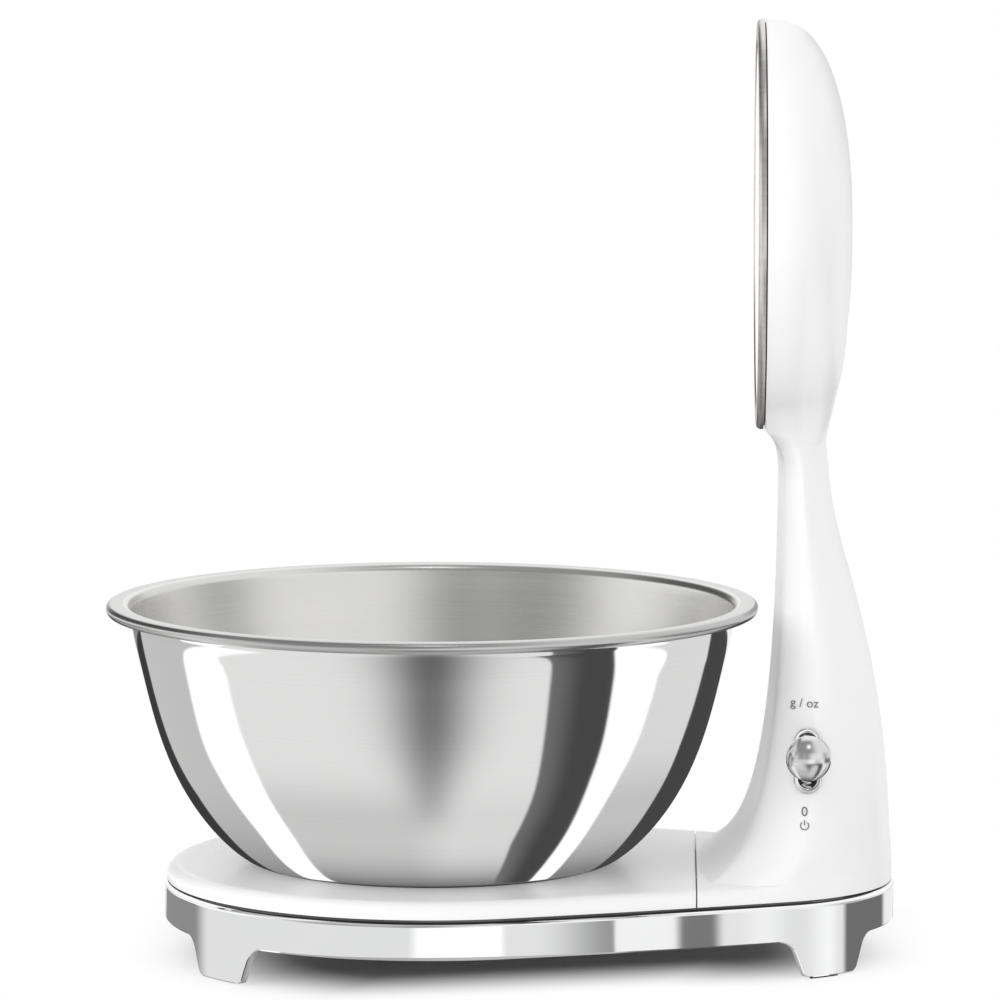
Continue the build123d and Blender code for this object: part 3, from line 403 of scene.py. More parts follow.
class Finish:
    """A node material: its object coordinates in millimetres, and one glossy shader."""

    def __init__(self, name, **constants):
        self.material = bpy.data.materials.new(name)
        self.material.use_nodes = True
        self.tree = self.material.node_tree
        self.shader = self.tree.nodes["Principled BSDF"]
        for socket, value in constants.items():
            self.shader.inputs[socket.replace("_", " ")].default_value = value
        start = Tone(self.tree)
        place = start.node("ShaderNodeTexCoord", output=3)
        scale = {0: place, 1: (1 / MM, 1 / MM, 1 / MM)}
        self.place = place.node("ShaderNodeVectorMath", {"operation": "MULTIPLY"}, scale)

    def along(self):
        """The three coordinates as separate values."""
        split = self.place.node("ShaderNodeSeparateXYZ", links={0: self.place})
        outputs = split.socket.node.outputs
        return [Tone(self.tree, outputs[i]) for i in range(3)]

    def noise(self, size, detail=2.0, stretch=(1, 1, 1), place=None):
        """Noise from 0 to 1 with lumps about this many millimetres across, stretched along the axes."""
        grain = tuple(1 / (size * s) for s in stretch)
        source = place or self.place
        scaled = source.node("ShaderNodeVectorMath", {"operation": "MULTIPLY"}, {0: source, 1: grain})
        links = {"Vector": scaled, "Scale": 1.0, "Detail": detail}
        return source.node("ShaderNodeTexNoise", {"noise_dimensions": "3D"}, links)

    def colour(self, dark, light, share):
        """Base colour between two tints by share."""
        settings = {"data_type": "RGBA"}
        mixed = share.node("ShaderNodeMix", settings, {"Factor": share}, output=2)
        node = mixed.socket.node
        node.inputs[6].default_value = (*dark, 1)
        node.inputs[7].default_value = (*light, 1)
        self.tree.links.new(mixed.socket, self.shader.inputs["Base Color"])
        return self

    def feed(self, socket, value):
        self.tree.links.new(value.socket, self.shader.inputs[socket])
        return self

    def bump(self, height, depth, strength=1.0):
        """Relief of this many millimetres."""
        links = {"Height": height, "Distance": depth * MM, "Strength": strength}
        relief = height.node("ShaderNodeBump", links=links)
        self.tree.links.new(relief.socket, self.shader.inputs["Normal"])
        return self


# Finishes

def noisy_finish(name, dark, light, cloud, rough, relief=None, **constants):
    """Finish from noise: cloud mixes two tints, and rough and relief say what noise roughens or lifts it.

    A noise is (size, detail, stretch), rough (noise, least, change) and relief (noise, depth, strength)."""
    made = Finish(name, **constants)
    made.colour(dark, light, made.noise(*cloud))
    grain, least, change = rough
    made.feed("Roughness", made.noise(*grain) * change + least)
    if relief:
        grain, depth, strength = relief
        made.bump(made.noise(*grain), depth, strength)
    return made.material


def chrome(name, rough, tint=1.0):
    """Chrome plating with faint smears, darkened by tint; on the trim strips and on the band's lower face
    the darkening is painted shade.
    """
    smear = (24.0, 3.0, (1, 1, 0.4))
    dark = (0.85 * tint, 0.855 * tint, 0.86 * tint)
    return noisy_finish(name, dark, (0.89 * tint,) * 3, smear, (smear, rough, 0.02), Metallic=1.0)


def bowl_bright():
    """Polished steel outside of the bowl: fine turned lines that follow its height."""
    made = Finish("bowl_bright", Metallic=1.0)
    lines = made.noise(1.0, 2.0, (900, 900, 0.7))
    smear = made.noise(30.0, 3.0)
    made.colour((0.84, 0.84, 0.835), (0.9, 0.9, 0.895), lines)
    made.feed("Roughness", lines * 0.02 + smear * 0.02 + 0.03)
    return made.material


def bowl_satin(name, dark, light, rough):
    """Brushed steel of the bowl's inside and lip: turned lines round its axis."""
    made = Finish(name, Metallic=1.0)
    x, y, z = made.along()
    out = ((x - BOWL_X) * (x - BOWL_X) + y * y) ** 0.5
    turn = (x - BOWL_X).math("ARCTAN2", y)
    joined = made.place.node("ShaderNodeCombineXYZ", links={0: out, 1: turn * 6.0, 2: z})
    lines = made.noise(0.5, 3.0, (1, 10, 1), joined)
    broad = made.noise(7.0, 2.0, (1, 6, 1), joined)
    made.colour(dark, light, lines * 0.6 + broad * 0.4)
    made.feed("Roughness", lines * 0.08 + rough)
    made.bump(lines, 0.02, 0.2)
    return made.material


def ring_metal():
    """Bright ring with brushed streaks across its edge."""
    made = Finish("ring_metal", Metallic=1.0)
    x, y, z = made.along()
    turn = (z - HEAD_Z).math("ARCTAN2", y)
    out = ((z - HEAD_Z) * (z - HEAD_Z) + y * y) ** 0.5
    joined = made.place.node("ShaderNodeCombineXYZ", links={0: turn * RING_R, 1: x, 2: out})
    streaks = made.noise(2.2, 3.0, (1, 4, 8), joined)
    made.colour((0.6, 0.575, 0.55), (0.92, 0.91, 0.9), streaks)
    made.feed("Roughness", streaks * 0.1 + 0.3)
    return made.material


def machined(name, dark, light, rough):
    """Cut metal: tool lines along X under a slight mottling."""
    lines = (0.6, 3.0, (14, 1, 1))
    return noisy_finish(name, dark, light, lines, (lines, rough, 0.12), (lines, 0.01, 0.3), Metallic=1.0)


def moulded(name, dark, light, rough, grain):
    """Small plain moulding with a fine grain."""
    grain = (grain, 3.0)
    return noisy_finish(name, dark, light, grain, (grain, rough, 0.1), (grain, 0.02, 0.4))


# Glossy white moulding: a soft even shine with a faint orange peel and slight clouding
WHITE = noisy_finish("white_gloss", (0.925, 0.925, 0.922), (0.945, 0.945, 0.943), (38.0, 3.0),
                     ((38.0, 3.0), 0.3, 0.06), ((1.4,), 0.004, 0.2),
                     Coat_Weight=0.08, Coat_Roughness=0.15, IOR=1.46)
CHROME = chrome("chrome", 0.015)
# Chrome darkened nearly to black: painted shade of the gap the trim strips sit in
TRIM_SHADE_CHROME = chrome("trim_chrome_painted_shade", 0.1, 0.12)
# Rough chrome darkened to grey: painted shade on the band's lower face at the feet
DULL_SHADE_CHROME = chrome("dull_chrome_painted_shade", 0.45, 0.7)
BALL_CHROME = chrome("ball_chrome", 0.2, 0.85)
BOWL_BRIGHT = bowl_bright()
BOWL_SATIN = bowl_satin("bowl_satin", (0.68, 0.675, 0.665), (0.82, 0.815, 0.805), 0.22)
# Darker copy of the inside's steel for the lip: painted shade
LIP_SHADE_SATIN = bowl_satin("lip_satin_painted_shade", (0.5, 0.5, 0.495), (0.62, 0.62, 0.615), 0.2)
RING_METAL = ring_metal()
# Matt dark moulding with a fine grain, matt rubber with a dusty bloom, and a hard dark lens
DARK = noisy_finish("dark_plastic", (0.035, 0.035, 0.038), (0.06, 0.06, 0.063), (12.0, 3.0),
                    ((0.45,), 0.5, 0.15), ((0.45,), 0.05, 0.6), Specular_IOR_Level=0.35)
RUBBER = noisy_finish("rubber", (0.025, 0.025, 0.025), (0.075, 0.073, 0.07), (5.0, 4.0),
                      ((5.0, 4.0), 0.7, 0.15), ((0.6,), 0.05, 0.5), Specular_IOR_Level=0.25)
LENS = noisy_finish("lens_glass", (0.012, 0.013, 0.016), (0.02, 0.021, 0.024), (40.0,),
                    ((25.0, 3.0), 0.04, 0.03), Coat_Weight=0.6, Coat_Roughness=0.02, IOR=1.5)
PANEL = noisy_finish("display_face", (0.012, 0.014, 0.016), (0.022, 0.025, 0.027), (6.0,),
                     ((2.0,), 0.35, 0.1))
BOARD = noisy_finish("board", (0.02, 0.12, 0.05), (0.05, 0.24, 0.1), (3.0, 4.0, (1, 0.3, 1)),
                     ((4.0,), 0.35, 0.15), Coat_Weight=0.3)
MARK = moulded("print_grey", (0.16, 0.16, 0.16), (0.2, 0.2, 0.2), 0.45, 0.3)
SLOT_FINISH = {
    "white_gloss": WHITE,
    "chrome": CHROME,
    "bowl_steel": BOWL_BRIGHT,
    "dark_plastic": DARK,
    "rubber": RUBBER,
    "lens": LENS,
    "panel": PANEL,
    "board": BOARD,
    "aluminium": machined("aluminium", (0.6, 0.6, 0.61), (0.78, 0.78, 0.79), 0.28),
    "screw_steel": machined("screw_steel", (0.5, 0.49, 0.46), (0.7, 0.69, 0.66), 0.25),
    "slider_plastic": moulded("slider_plastic", (0.74, 0.73, 0.69), (0.82, 0.81, 0.77), 0.4, 0.5),
    "cell_wrap": moulded("cell_wrap", (0.06, 0.06, 0.07), (0.1, 0.1, 0.11), 0.3, 2.0),
    "contact_metal": machined("contact_metal", (0.62, 0.55, 0.36), (0.8, 0.73, 0.52), 0.25),
    "wire": moulded("wire", (0.03, 0.03, 0.032), (0.06, 0.06, 0.062), 0.45, 0.4),
}
NODE_SLOT = {part["node"]: part["material_slot"] for part in frame["record"]["subparts"]}
for node, carried in frame["nodes"].items():
    carried.material_slots[0].material = SLOT_FINISH[NODE_SLOT[node]]
    carried.visible_glossy = False


# Base outline

def side_y(x, inset):
    """Half-width of the plan's side at x: a large arc that touches both end circles."""
    return np.sqrt((SIDE_ARC_R - inset) ** 2 - (x - ARC_X) ** 2) - ARC_Y


def end_path(centre, radius, lean, side, inset, seam, steps):
    """Open path round one end: along the side from the seam, round the end's circle and back."""
    start = side * (PI / 2 - lean)
    turn = np.linspace(start, (1 + side) * PI - start, steps[1])
    run = np.linspace(seam, centre + radius * math.sin(lean), steps[0], endpoint=False)
    x = np.concatenate([run, centre + radius * np.cos(turn), run[::-1]])
    half = side * side_y(run, inset)
    y = np.concatenate([half, radius * np.sin(turn), -half[::-1]])
    return np.stack([x, y], -1)


def bowl_path(inset, seam, steps=(60, 260)):
    """Path round the bowl end, drawn in by inset, from the far side to the lever side."""
    return end_path(BOWL_X, BOWL_END_R - inset, BOWL_LEAN, 1, inset, seam, steps)


def tail_path(inset, seam, steps=(40, 160)):
    """Path round the column end, drawn in by inset, from the lever side to the far side."""
    return end_path(TAIL_X, TAIL_R - inset, TAIL_LEAN, -1, inset, seam, steps)


def trim_strip(name, path, seam, node, body):
    """Chrome strip, darkened as painted shade of its gap: a small bar with eased edges, carried along a
    path of the base's outline.
    """
    edge = TRIM_EDGE
    low, high, outer = TRIM_LOW + TRIM_GAP, COVER_LOW, COVER_INSET
    section = [(outer + TRIM_W, low), (outer + edge, low), (outer, low + edge), (outer, high - edge)]
    section += [(outer + edge, high), (outer + TRIM_W, high)]
    lines = [level_line(path(inset, seam), z) for inset, z in section]
    piece = grid_piece(name, np.stack(lines, 1), [TRIM_SHADE_CHROME], wrap_cols=True, caps=(0, -1))
    return stand_for(piece, node, body)


def platform_plate():
    """White plate: the bowl end's outline closed at the seam, its upper edge rounded, hollow below."""
    turn = np.linspace(0, PI / 2, 12)
    inner = COVER_INSET + COVER_WALL
    flat = 0.8
    corner = COVER_INSET + COVER_EDGE_R
    under = PLATFORM_TOP - COVER_TOP_T
    rings = [(inner, under, COVER_WALL), (inner, COVER_LOW, COVER_WALL), (COVER_INSET, COVER_LOW, 0)]
    lifted = PLATFORM_TOP - COVER_EDGE_R + COVER_EDGE_R * np.sin(turn)
    drawn = corner - COVER_EDGE_R * np.cos(turn)
    soft = SEAM_SOFT * np.clip((lifted - PLATFORM_TOP + SEAM_SOFT) / SEAM_SOFT, 0, 1) ** 2
    rings += list(zip(drawn, lifted, soft)) + [(corner + flat, PLATFORM_TOP, SEAM_SOFT + flat)]
    lines = []
    for inset, z, seam_in in rings:
        path = bowl_path(inset, PLATFORM_SEAM - seam_in)
        across = np.linspace(path[-1], path[0], 60)[1:-1]
        lines.append(level_line(np.concatenate([path, across]), z))
    piece = grid_piece("platform_plate", np.stack(lines), [WHITE], wrap_cols=True, caps=(0, -1))
    return stand_for(piece, "platform_cover", "platform")


def seam_shade_sheet():
    """Thin dark upright that stands in the seam between plate and column, just below their tops: a sheet of
    painted shade for the gap.
    """
    x = (PLATFORM_SEAM + COLUMN_SEAM) / 2
    y = float(side_y(x, COVER_INSET + 1.2))
    low, high = COVER_LOW, PLATFORM_TOP - 0.8
    edge = np.array([[-y, low], [y, low], [y, high - 4], [y - 4, high], [4 - y, high], [-y, high - 4]])
    points = np.stack([np.column_stack([np.full(6, x + side), edge]) for side in (-0.06, 0.06)])
    fixed_dark(grid_piece("seam_shade_sheet", points, [DARK], wrap_cols=True, caps=(0, -1)))


def foot_edge(off, width, flare):
    """Height of the skirt's lower edge at a distance from a foot's middle.

    A flat end, a small round corner, a straight steep flank, and an arc that meets the arch."""
    rise = SKIRT_LOW - FOOT_LOW
    run = flare * rise / (SKIRT_LOW + SKIRT_BEVEL)
    lean = math.atan2(rise, run)
    start = width / 2 + flare * FOOT_LOW / (SKIRT_LOW + SKIRT_BEVEL)
    small, large = FOOT_ROUND_LOW, FOOT_ROUND_HIGH
    corner_at = start - small * math.tan(lean / 2)
    arc_at = start + run + large * math.tan(lean / 2)
    corner = FOOT_LOW + small - np.sqrt(np.maximum(small**2 - (off - corner_at) ** 2, 0))
    arc = SKIRT_LOW - large + np.sqrt(np.maximum(large**2 - (off - arc_at) ** 2, 0))
    edge = np.clip(FOOT_LOW + (off - start) * rise / run, FOOT_LOW, SKIRT_LOW)
    edge = np.where((off > corner_at) & (off < corner_at + small * math.sin(lean)), corner, edge)
    return np.where((off > arc_at - large * math.sin(lean)) & (off < arc_at), arc, edge)


def skirt_band():
    """Chrome band, dark inside, as bare moulding and as painted shade inside the feet, with a dull darkened
    lower face as painted shade: a section carried round the base, lower at its four feet.
    """
    start = BOWL_X + BOWL_END_R * math.sin(BOWL_LEAN)
    tail = tail_path(0, start, (240, 600))[:-1]
    path = np.concatenate([tail, bowl_path(0, start + 0.001, (1, 900))[1:-1]])
    step = np.roll(path, -1, 0) - np.roll(path, 1, 0)
    step /= np.linalg.norm(step, axis=1)[:, None]
    outward = np.stack([step[:, 1], -step[:, 0]], -1)
    low = np.full(len(path), SKIRT_LOW)
    core = np.zeros(len(path))
    ends = [(BOWL_X, PI, BOWL_FOOT), (TAIL_X, 0.0, TAIL_FOOT)]
    for centre, facing, (angle, width, flare) in ends:
        for side in (-1, 1):
            turn = np.arctan2(path[:, 1], path[:, 0] - centre) - facing - side * angle
            turn = (turn + PI) % (2 * PI) - PI
            off = np.hypot(path[:, 0] - centre, path[:, 1]) * np.abs(turn)
            low = np.minimum(low, foot_edge(off, width, flare))
            core = np.maximum(core, 1 - smooth((off - width / 2 + 8) / 9))
    foot = smooth((SKIRT_LOW - low) / 3)
    depth = SKIRT_WALL + (FOOT_DEPTH - SKIRT_WALL) * core
    lens = np.exp(-(((path[:, 0] - BOWL_X - ARCH_AT) / ARCH_SPREAD) ** 2)) * (1 - foot)
    bevel = SKIRT_EDGE + (SKIRT_BEVEL - SKIRT_EDGE) * lens
    ease = SKIRT_EDGE
    none = 0 * low
    wall = np.array([0, 0.03, 0.25, 0.5, 0.75, 0.96, 1])[:, None]
    foot_wall = low + bevel + (SKIRT_TOP - ease - low - bevel) * wall
    rows = [(depth, low), (np.minimum(depth, SKIRT_WALL), low), (bevel, low)]
    rows += [(none, z) for z in foot_wall]
    rows += [(none + 0.3 * ease, none + SKIRT_TOP - 0.3 * ease), (none + ease, none + SKIRT_TOP)]
    arch = np.maximum(low, SKIRT_LOW - 0.01)
    rows += [(none + SKIRT_WALL, none + SKIRT_TOP), (none + SKIRT_WALL, arch), (depth, arch)]
    points = np.stack([np.column_stack([path - outward * inset[:, None], z]) for inset, z in rows])
    # Faces inside the band take the dark plastic, as bare moulding and as painted shade; its lower face
    # takes the darkened dull chrome, as painted shade
    bare_and_shaded = np.zeros(len(points), np.int32)
    bare_and_shaded[[0, -3, -2, -1]] = 1
    bare_and_shaded[1] = 2
    finish = np.repeat(bare_and_shaded, points.shape[1])
    metals = [CHROME, DARK, DULL_SHADE_CHROME]
    piece = grid_piece("skirt_band", points, metals, 30.0, finish, wrap_rows=True, wrap_cols=True)
    return stand_for(piece, "base_skirt", "base")


# Bowl

def bowl_wall(z):
    """Outside radius at height z: a step off the foot, a dying swell, a lean and a bend at the lip."""
    share = (z - PLATFORM_TOP) / BOWL_WALL_H
    left = 1 - share
    foot = 2.2 * np.exp(-share / 0.04) + 1.3 * np.exp(-share / 0.0065)
    swell = WALL_SWELL * np.maximum(left, 0) ** 4
    steeper = np.maximum(z - BOWL_BEND_Z, 0) ** 2 / (2 * LIP_BEND_R)
    return BOWL_WALL_R - foot - swell - WALL_LEAN * left - steeper


def mixing_bowl():
    """Steel pressing: a profile of foot, wall, flat lip, rolled bead and inside, turned on its axis."""
    share = np.linspace(0, 1, 90) ** 1.5
    z = PLATFORM_TOP + (BOWL_LIP_Z - PLATFORM_TOP) * share
    foot = np.column_stack([np.linspace(0, bowl_wall(PLATFORM_TOP), 8)[:-1], np.full(7, PLATFORM_TOP)])
    outside = np.concatenate([foot, np.column_stack([bowl_wall(z), z])])
    along = np.gradient(outside, axis=0)
    along /= np.linalg.norm(along, axis=1)[:, None]
    inside = outside + BOWL_SHEET * np.column_stack([-along[:, 1], along[:, 0]])
    inside[0, 0] = 0.0
    bead = np.array([RIM_R - BEAD_R, RIM_TOP - BEAD_R])
    turn = np.radians(np.linspace(270, 440, 28))
    roll = bead + BEAD_R * np.column_stack([np.cos(turn), np.sin(turn)])
    crest = np.array([inside[-1, 0] + LIP_CREST, RIM_TOP])
    rim = inside[-1] + np.array([0.3, 1.8])
    under = hermite(outside[-1], (0.5, 3.2), roll[0], (6.0, 0), 14)[1:-1]
    over = hermite(roll[-1], (-2.5, 0.45), crest, (-3.0, 0), 10)[1:-1]
    shoulder = hermite(crest, (-4.6, 0), rim, (-0.75, -4.4), 20)[:-1]
    top = np.linspace(rim, inside[-1], 4)[:-1]
    profile = np.concatenate([outside, under, roll, over, shoulder, top, inside[::-1]])
    points = turned(profile, 300) + np.array([BOWL_X, 0, 0])
    metals = [BOWL_BRIGHT, BOWL_SATIN, LIP_SHADE_SATIN]
    piece = grid_piece("mixing_bowl", points, metals, 20.0, wrap_rows=True)
    mark_inside(piece)
    return stand_for(piece, "bowl", "bowl")


def mark_inside(piece):
    """Faces that look at the bowl's axis or up take the inside's finish, and the lip takes a darker copy of
    it, which is painted shade.
    """
    normal = face_values(piece.data, "normal")
    centre = face_values(piece.data, "center") / MM
    out = centre[:, :2] - np.array([BOWL_X, 0])
    inward = (normal[:, :2] * out).sum(1) < 0
    up = normal[:, 2] > 0.3
    finish = np.where(inward | up, 1, 0)
    far = np.hypot(out[:, 0], out[:, 1]) > bowl_wall(BOWL_LIP_Z) + LIP_CREST - 1.2
    finish = np.where((centre[:, 2] > BOWL_LIP_Z) & far, 2, finish)
    piece.data.polygons.foreach_set("material_index", finish.astype(np.int32))


# Column

def front_x(z):
    """Front of the column: a slow lean and a quick toe that runs out over the plate, then the chin."""
    up = z - PLATFORM_TOP
    reach = NECK_FRONT_X - COLUMN_SEAM
    x = NECK_FRONT_X - reach * 2 / 3 * np.exp(-up / FLARE_LONG) - reach / 3 * np.exp(-up / FLARE_SHORT)
    chin = np.clip((z - CHIN_LOW) / CHIN_H, 0, 1)
    return x + (HEAD_FRONT_X - x) * (1 - (1 - chin**2) ** 0.72)


def back_x(z):
    """Back of the column: upright at the base, hollow at the neck, then up into the head's keel."""
    share = (z - PLATFORM_TOP) / (NECK_Z - PLATFORM_TOP)
    foot = TAIL_X + TAIL_R - COVER_INSET
    column = NECK_BACK_X + (foot - NECK_BACK_X) * eased(BACK_LEAN, share)
    head = HEAD_FRONT_X + HEAD_DEPTH
    keel = NECK_BACK_X + (head - NECK_BACK_X) * eased(KEEL, (z - NECK_Z) / (HEAD_Z - NECK_Z))
    return np.where(share < 1, column, keel)


def half_width(z):
    """Half-width of the column: a nearly straight lean up to the neck."""
    share = (z - PLATFORM_TOP) / (NECK_Z - PLATFORM_TOP)
    foot = (TAIL_R - COVER_INSET) * SIDE_SIN
    return NECK_HALF_W + (foot - NECK_HALF_W) * (1 - np.clip(share, 0, 1)) ** SIDE_LEAN


def full_width(z):
    """Half-width of column and head: the lean, the head's disc, and an arc that touches both."""
    side = half_width(z)
    middle = NECK_HALF_W + NECK_FILLET
    below = math.sqrt((HEAD_R + NECK_FILLET) ** 2 - middle**2)
    start = HEAD_Z - below
    end = HEAD_Z - below * HEAD_R / (HEAD_R + NECK_FILLET)
    arc = middle - np.sqrt(np.maximum(NECK_FILLET**2 - (z - start) ** 2, 0))
    disc = np.sqrt(np.maximum(HEAD_R**2 - (z - HEAD_Z) ** 2, 0))
    return np.where(z < start, side, np.where(z < end, arc + (side - NECK_HALF_W), disc))


def dome(radius):
    """Depth of the head behind its front, by distance from the display's axis: a rounded, full lens."""
    return HEAD_DEPTH * np.maximum(1 - (radius / HEAD_R) ** HEAD_ROUND_IN, 0) ** (1 / HEAD_ROUND_OUT)


def column_levels():
    """Heights of the column's rings: the base's rounded edge, then the toe, shaft, neck and head."""
    turn = np.linspace(0, PI / 2, 9)
    edge = PLATFORM_TOP - COVER_EDGE_R + COVER_EDGE_R * np.sin(turn)
    toe = PLATFORM_TOP + 40 * np.linspace(0, 1, 22) ** 1.8
    shaft = np.linspace(PLATFORM_TOP + 40, NECK_Z - 6, 28)[1:]
    neck = np.linspace(NECK_Z - 6, HEAD_Z - HEAD_R + 22, 60)[1:]
    start = math.asin((HEAD_R - 22) / HEAD_R)
    head = HEAD_Z + HEAD_R * np.sin(np.linspace(-start, PI / 2, 64)[1:])
    plan = np.concatenate([[COVER_LOW], edge])
    return plan, np.concatenate([toe, shaft, neck, head])


def half_ring(z, on_plan):
    """Half a ring of the column at each height, from the middle of its front to the middle of its back.

    Three strips: the bowed front, the side from crease to widest line, and the rounded back.
    On the base's edge the ring is the plan's outline. In the head it is the front disc's edge and a
    domed back."""
    u_front = np.linspace(0, 1, 26)
    u_side = np.linspace(0, 1, 31)[1:]
    u_back = np.linspace(0, 1, 61)[1:]
    strips = [np.zeros(26), u_side, np.ones(60)]
    z = z[:, None]
    up = np.maximum(z - PLATFORM_TOP, 0)
    high = PLATFORM_TOP + up
    nose, back, half = front_x(high), back_x(high), full_width(high)
    crease = half * (CREASE_SHARE + TOE_SPREAD * np.exp(-up / FLARE_SHORT))
    bow = FRONT_BOW + TOE_BOW * np.exp(-up / (2 * FLARE_SHORT))
    corner = nose + bow
    wide = corner + WIDEST_AT * (back - corner)
    turn = PI / 2 * u_back
    column_x = np.concatenate([nose + bow * u_front**2, corner + (wide - corner) * u_side,
                               wide + (back - wide) * np.sin(turn) ** BACK_ROUND], 1)
    column_y = np.concatenate([crease * u_front, crease + (half - crease) * (1 - (1 - u_side) ** 2),
                               half * np.cos(turn)], 1)
    column_x = np.maximum(column_x, COLUMN_SEAM)

    # The plan's outline, with its rounded edge fading out along the side
    fade = smooth((np.concatenate(strips) - 0.3) / 0.7)[None, :]
    rise = np.clip((z - PLATFORM_TOP + COVER_EDGE_R) / COVER_EDGE_R, 0, 1)
    drawn = COVER_EDGE_R * (1 - np.sqrt(np.maximum(1 - rise**2, 0))) * on_plan[:, None]
    inset = COVER_INSET + drawn * (1 - fade)
    end = TAIL_X + (TAIL_R - COVER_INSET) * math.sin(TAIL_LEAN)
    flat = np.zeros_like(z)
    plan_x = np.concatenate([COLUMN_SEAM + 0 * u_front + flat,
                             COLUMN_SEAM + (end - COLUMN_SEAM) * u_side + flat], 1)
    around = np.arcsin(math.cos(TAIL_LEAN) * np.cos(turn)) + flat
    small = TAIL_R - COVER_INSET
    plan_y = np.concatenate([side_y(plan_x[:, :26], inset[:, :26]) * u_front,
                             side_y(plan_x[:, 26:], inset[:, 26:56]), small * np.sin(around)], 1)
    plan_x = np.concatenate([plan_x, TAIL_X + small * np.cos(around)], 1)
    share = smooth((z - PLATFORM_TOP + COVER_EDGE_R) / 15)
    to_column = np.where(on_plan[:, None] > 0, fade * share, 1 - fade * (1 - share))
    x = plan_x + (column_x - plan_x) * to_column
    y = plan_y + (column_y - plan_y) * to_column

    # The head: the front disc's edge, and a dome that runs down into the neck
    drop = np.abs(z - HEAD_Z)
    v = np.concatenate([0.2 * u_side, 0.2 + 0.8 * u_back])
    sweep = PI / 2 * v**1.5
    head_y = half * np.cos(sweep)
    spread = dome(HEAD_R * np.minimum(head_y / np.maximum(half, 1e-6), 1)) / HEAD_DEPTH
    head_x = np.where(z < HEAD_Z, (back - HEAD_FRONT_X) * spread, dome(np.sqrt(head_y**2 + drop**2)))
    head_x = HEAD_FRONT_X + head_x
    head_x = np.concatenate([HEAD_FRONT_X + 0 * u_front + flat, head_x], 1)
    head_y = np.concatenate([half * u_front, head_y], 1)
    to_head = smooth((z - NECK_Z + 10) / 26)
    x, y = x + (head_x - x) * to_head, y + (head_y - y) * to_head
    return softened(x, y, smooth(up / 14) * (1 - smooth((z - NECK_Z + 25) / 15)))


def softened(x, y, share):
    """Half rings with rounded creases: each point drawn to its neighbours' mean, as far as share says."""
    far = 9
    weight = np.hanning(2 * far + 3)[1:-1]
    weight /= weight.sum()
    long_x = np.concatenate([x[:, far:0:-1], x, x[:, -2 : -far - 2 : -1]], 1)
    long_y = np.concatenate([-y[:, far:0:-1], y, -y[:, -2 : -far - 2 : -1]], 1)
    even_x = np.lib.stride_tricks.sliding_window_view(long_x, 2 * far + 1, axis=1) @ weight
    even_y = np.lib.stride_tricks.sliding_window_view(long_y, 2 * far + 1, axis=1) @ weight
    return x + (even_x - x) * share, y + (even_y - y) * share


def column_and_head():
    """White moulding: level rings from the base's edge to the head's top, open at the lever."""
    plan, levels = column_levels()
    z = np.concatenate([plan, levels])
    on_plan = np.concatenate([np.ones(len(plan)), np.zeros(len(levels))])
    x, y = half_ring(z, on_plan)
    x = np.concatenate([x, x[:, -2:0:-1]], 1)
    y = np.concatenate([-y, y[:, -2:0:-1]], 1)
    points = np.stack([x, y, z[:, None] + 0 * x], -1)
    piece = grid_piece("column_and_head", points, [WHITE], 40.0, wrap_cols=True, caps=(0,))
    open_lever_hole(piece)
    return stand_for(piece, "column_shell", "base")


# The lever's own frame, on the column's side: x along X, y up the side and z straight out
SIDE_SLOPE = (half_width(LEVER_Z + 1.0) - half_width(LEVER_Z - 1.0)) / 2
LEVER_TILT = math.atan(-float(SIDE_SLOPE))
LEVER_OUT = np.array([0, -math.cos(LEVER_TILT), math.sin(LEVER_TILT)])
LEVER_UP = np.array([0, math.sin(LEVER_TILT), math.cos(LEVER_TILT)])
LEVER_AT = np.array([LEVER_X, -float(half_width(LEVER_Z)), LEVER_Z])


def on_lever(points):
    """Carries points from the lever's own frame to the part's."""
    across = np.array([1.0, 0, 0])
    return LEVER_AT + points[..., :1] * across + points[..., 1:2] * LEVER_UP + points[..., 2:] * LEVER_OUT


def oval(width, height, steps=OVAL_STEPS):
    """Outline of an upright bar with round ends: a half circle over a half circle."""
    turn = np.linspace(0, 2 * PI, steps, endpoint=False) + PI / steps
    lift = np.where(np.sin(turn) > 0, 1, -1) * (height - width) / 2
    return np.stack([width / 2 * np.cos(turn), width / 2 * np.sin(turn) + lift], -1)


def oval_stack(sections):
    """Rings of ovals (width, height, level) in the lever's frame."""
    return on_lever(np.stack([level_line(oval(w, h), level) for w, h, level in sections]))


def open_lever_hole(piece):
    """Cuts the collar's oval out of the column's side and leaves the opening clear."""
    width, height = OVAL_W - 2 * OVAL_LIP, OVAL_H - 2 * OVAL_LIP
    points = oval_stack([(width, height, -8.0), (width, height, 8.0)])
    all_dark = np.ones(OVAL_STEPS + 2, np.int32)
    cutter = grid_piece("lever_hole", points, [WHITE, DARK], 35.0, all_dark, wrap_cols=True, caps=(0, -1))
    piece.data.materials.append(DARK)
    cut = piece.modifiers.new("lever_hole", "BOOLEAN")
    cut.operation = "DIFFERENCE"
    cut.solver = "EXACT"
    cut.object = cutter
    mesh = shaped(piece)
    made = bmesh.new()
    made.from_mesh(mesh)
    pocket = [face for face in made.faces if face.material_index == 1]
    bmesh.ops.delete(made, geom=pocket, context="FACES")
    made.to_mesh(mesh)
    made.free()
    mesh.materials.pop(index=1)
    take_mesh(piece, mesh)
    bpy.data.objects.remove(cutter)


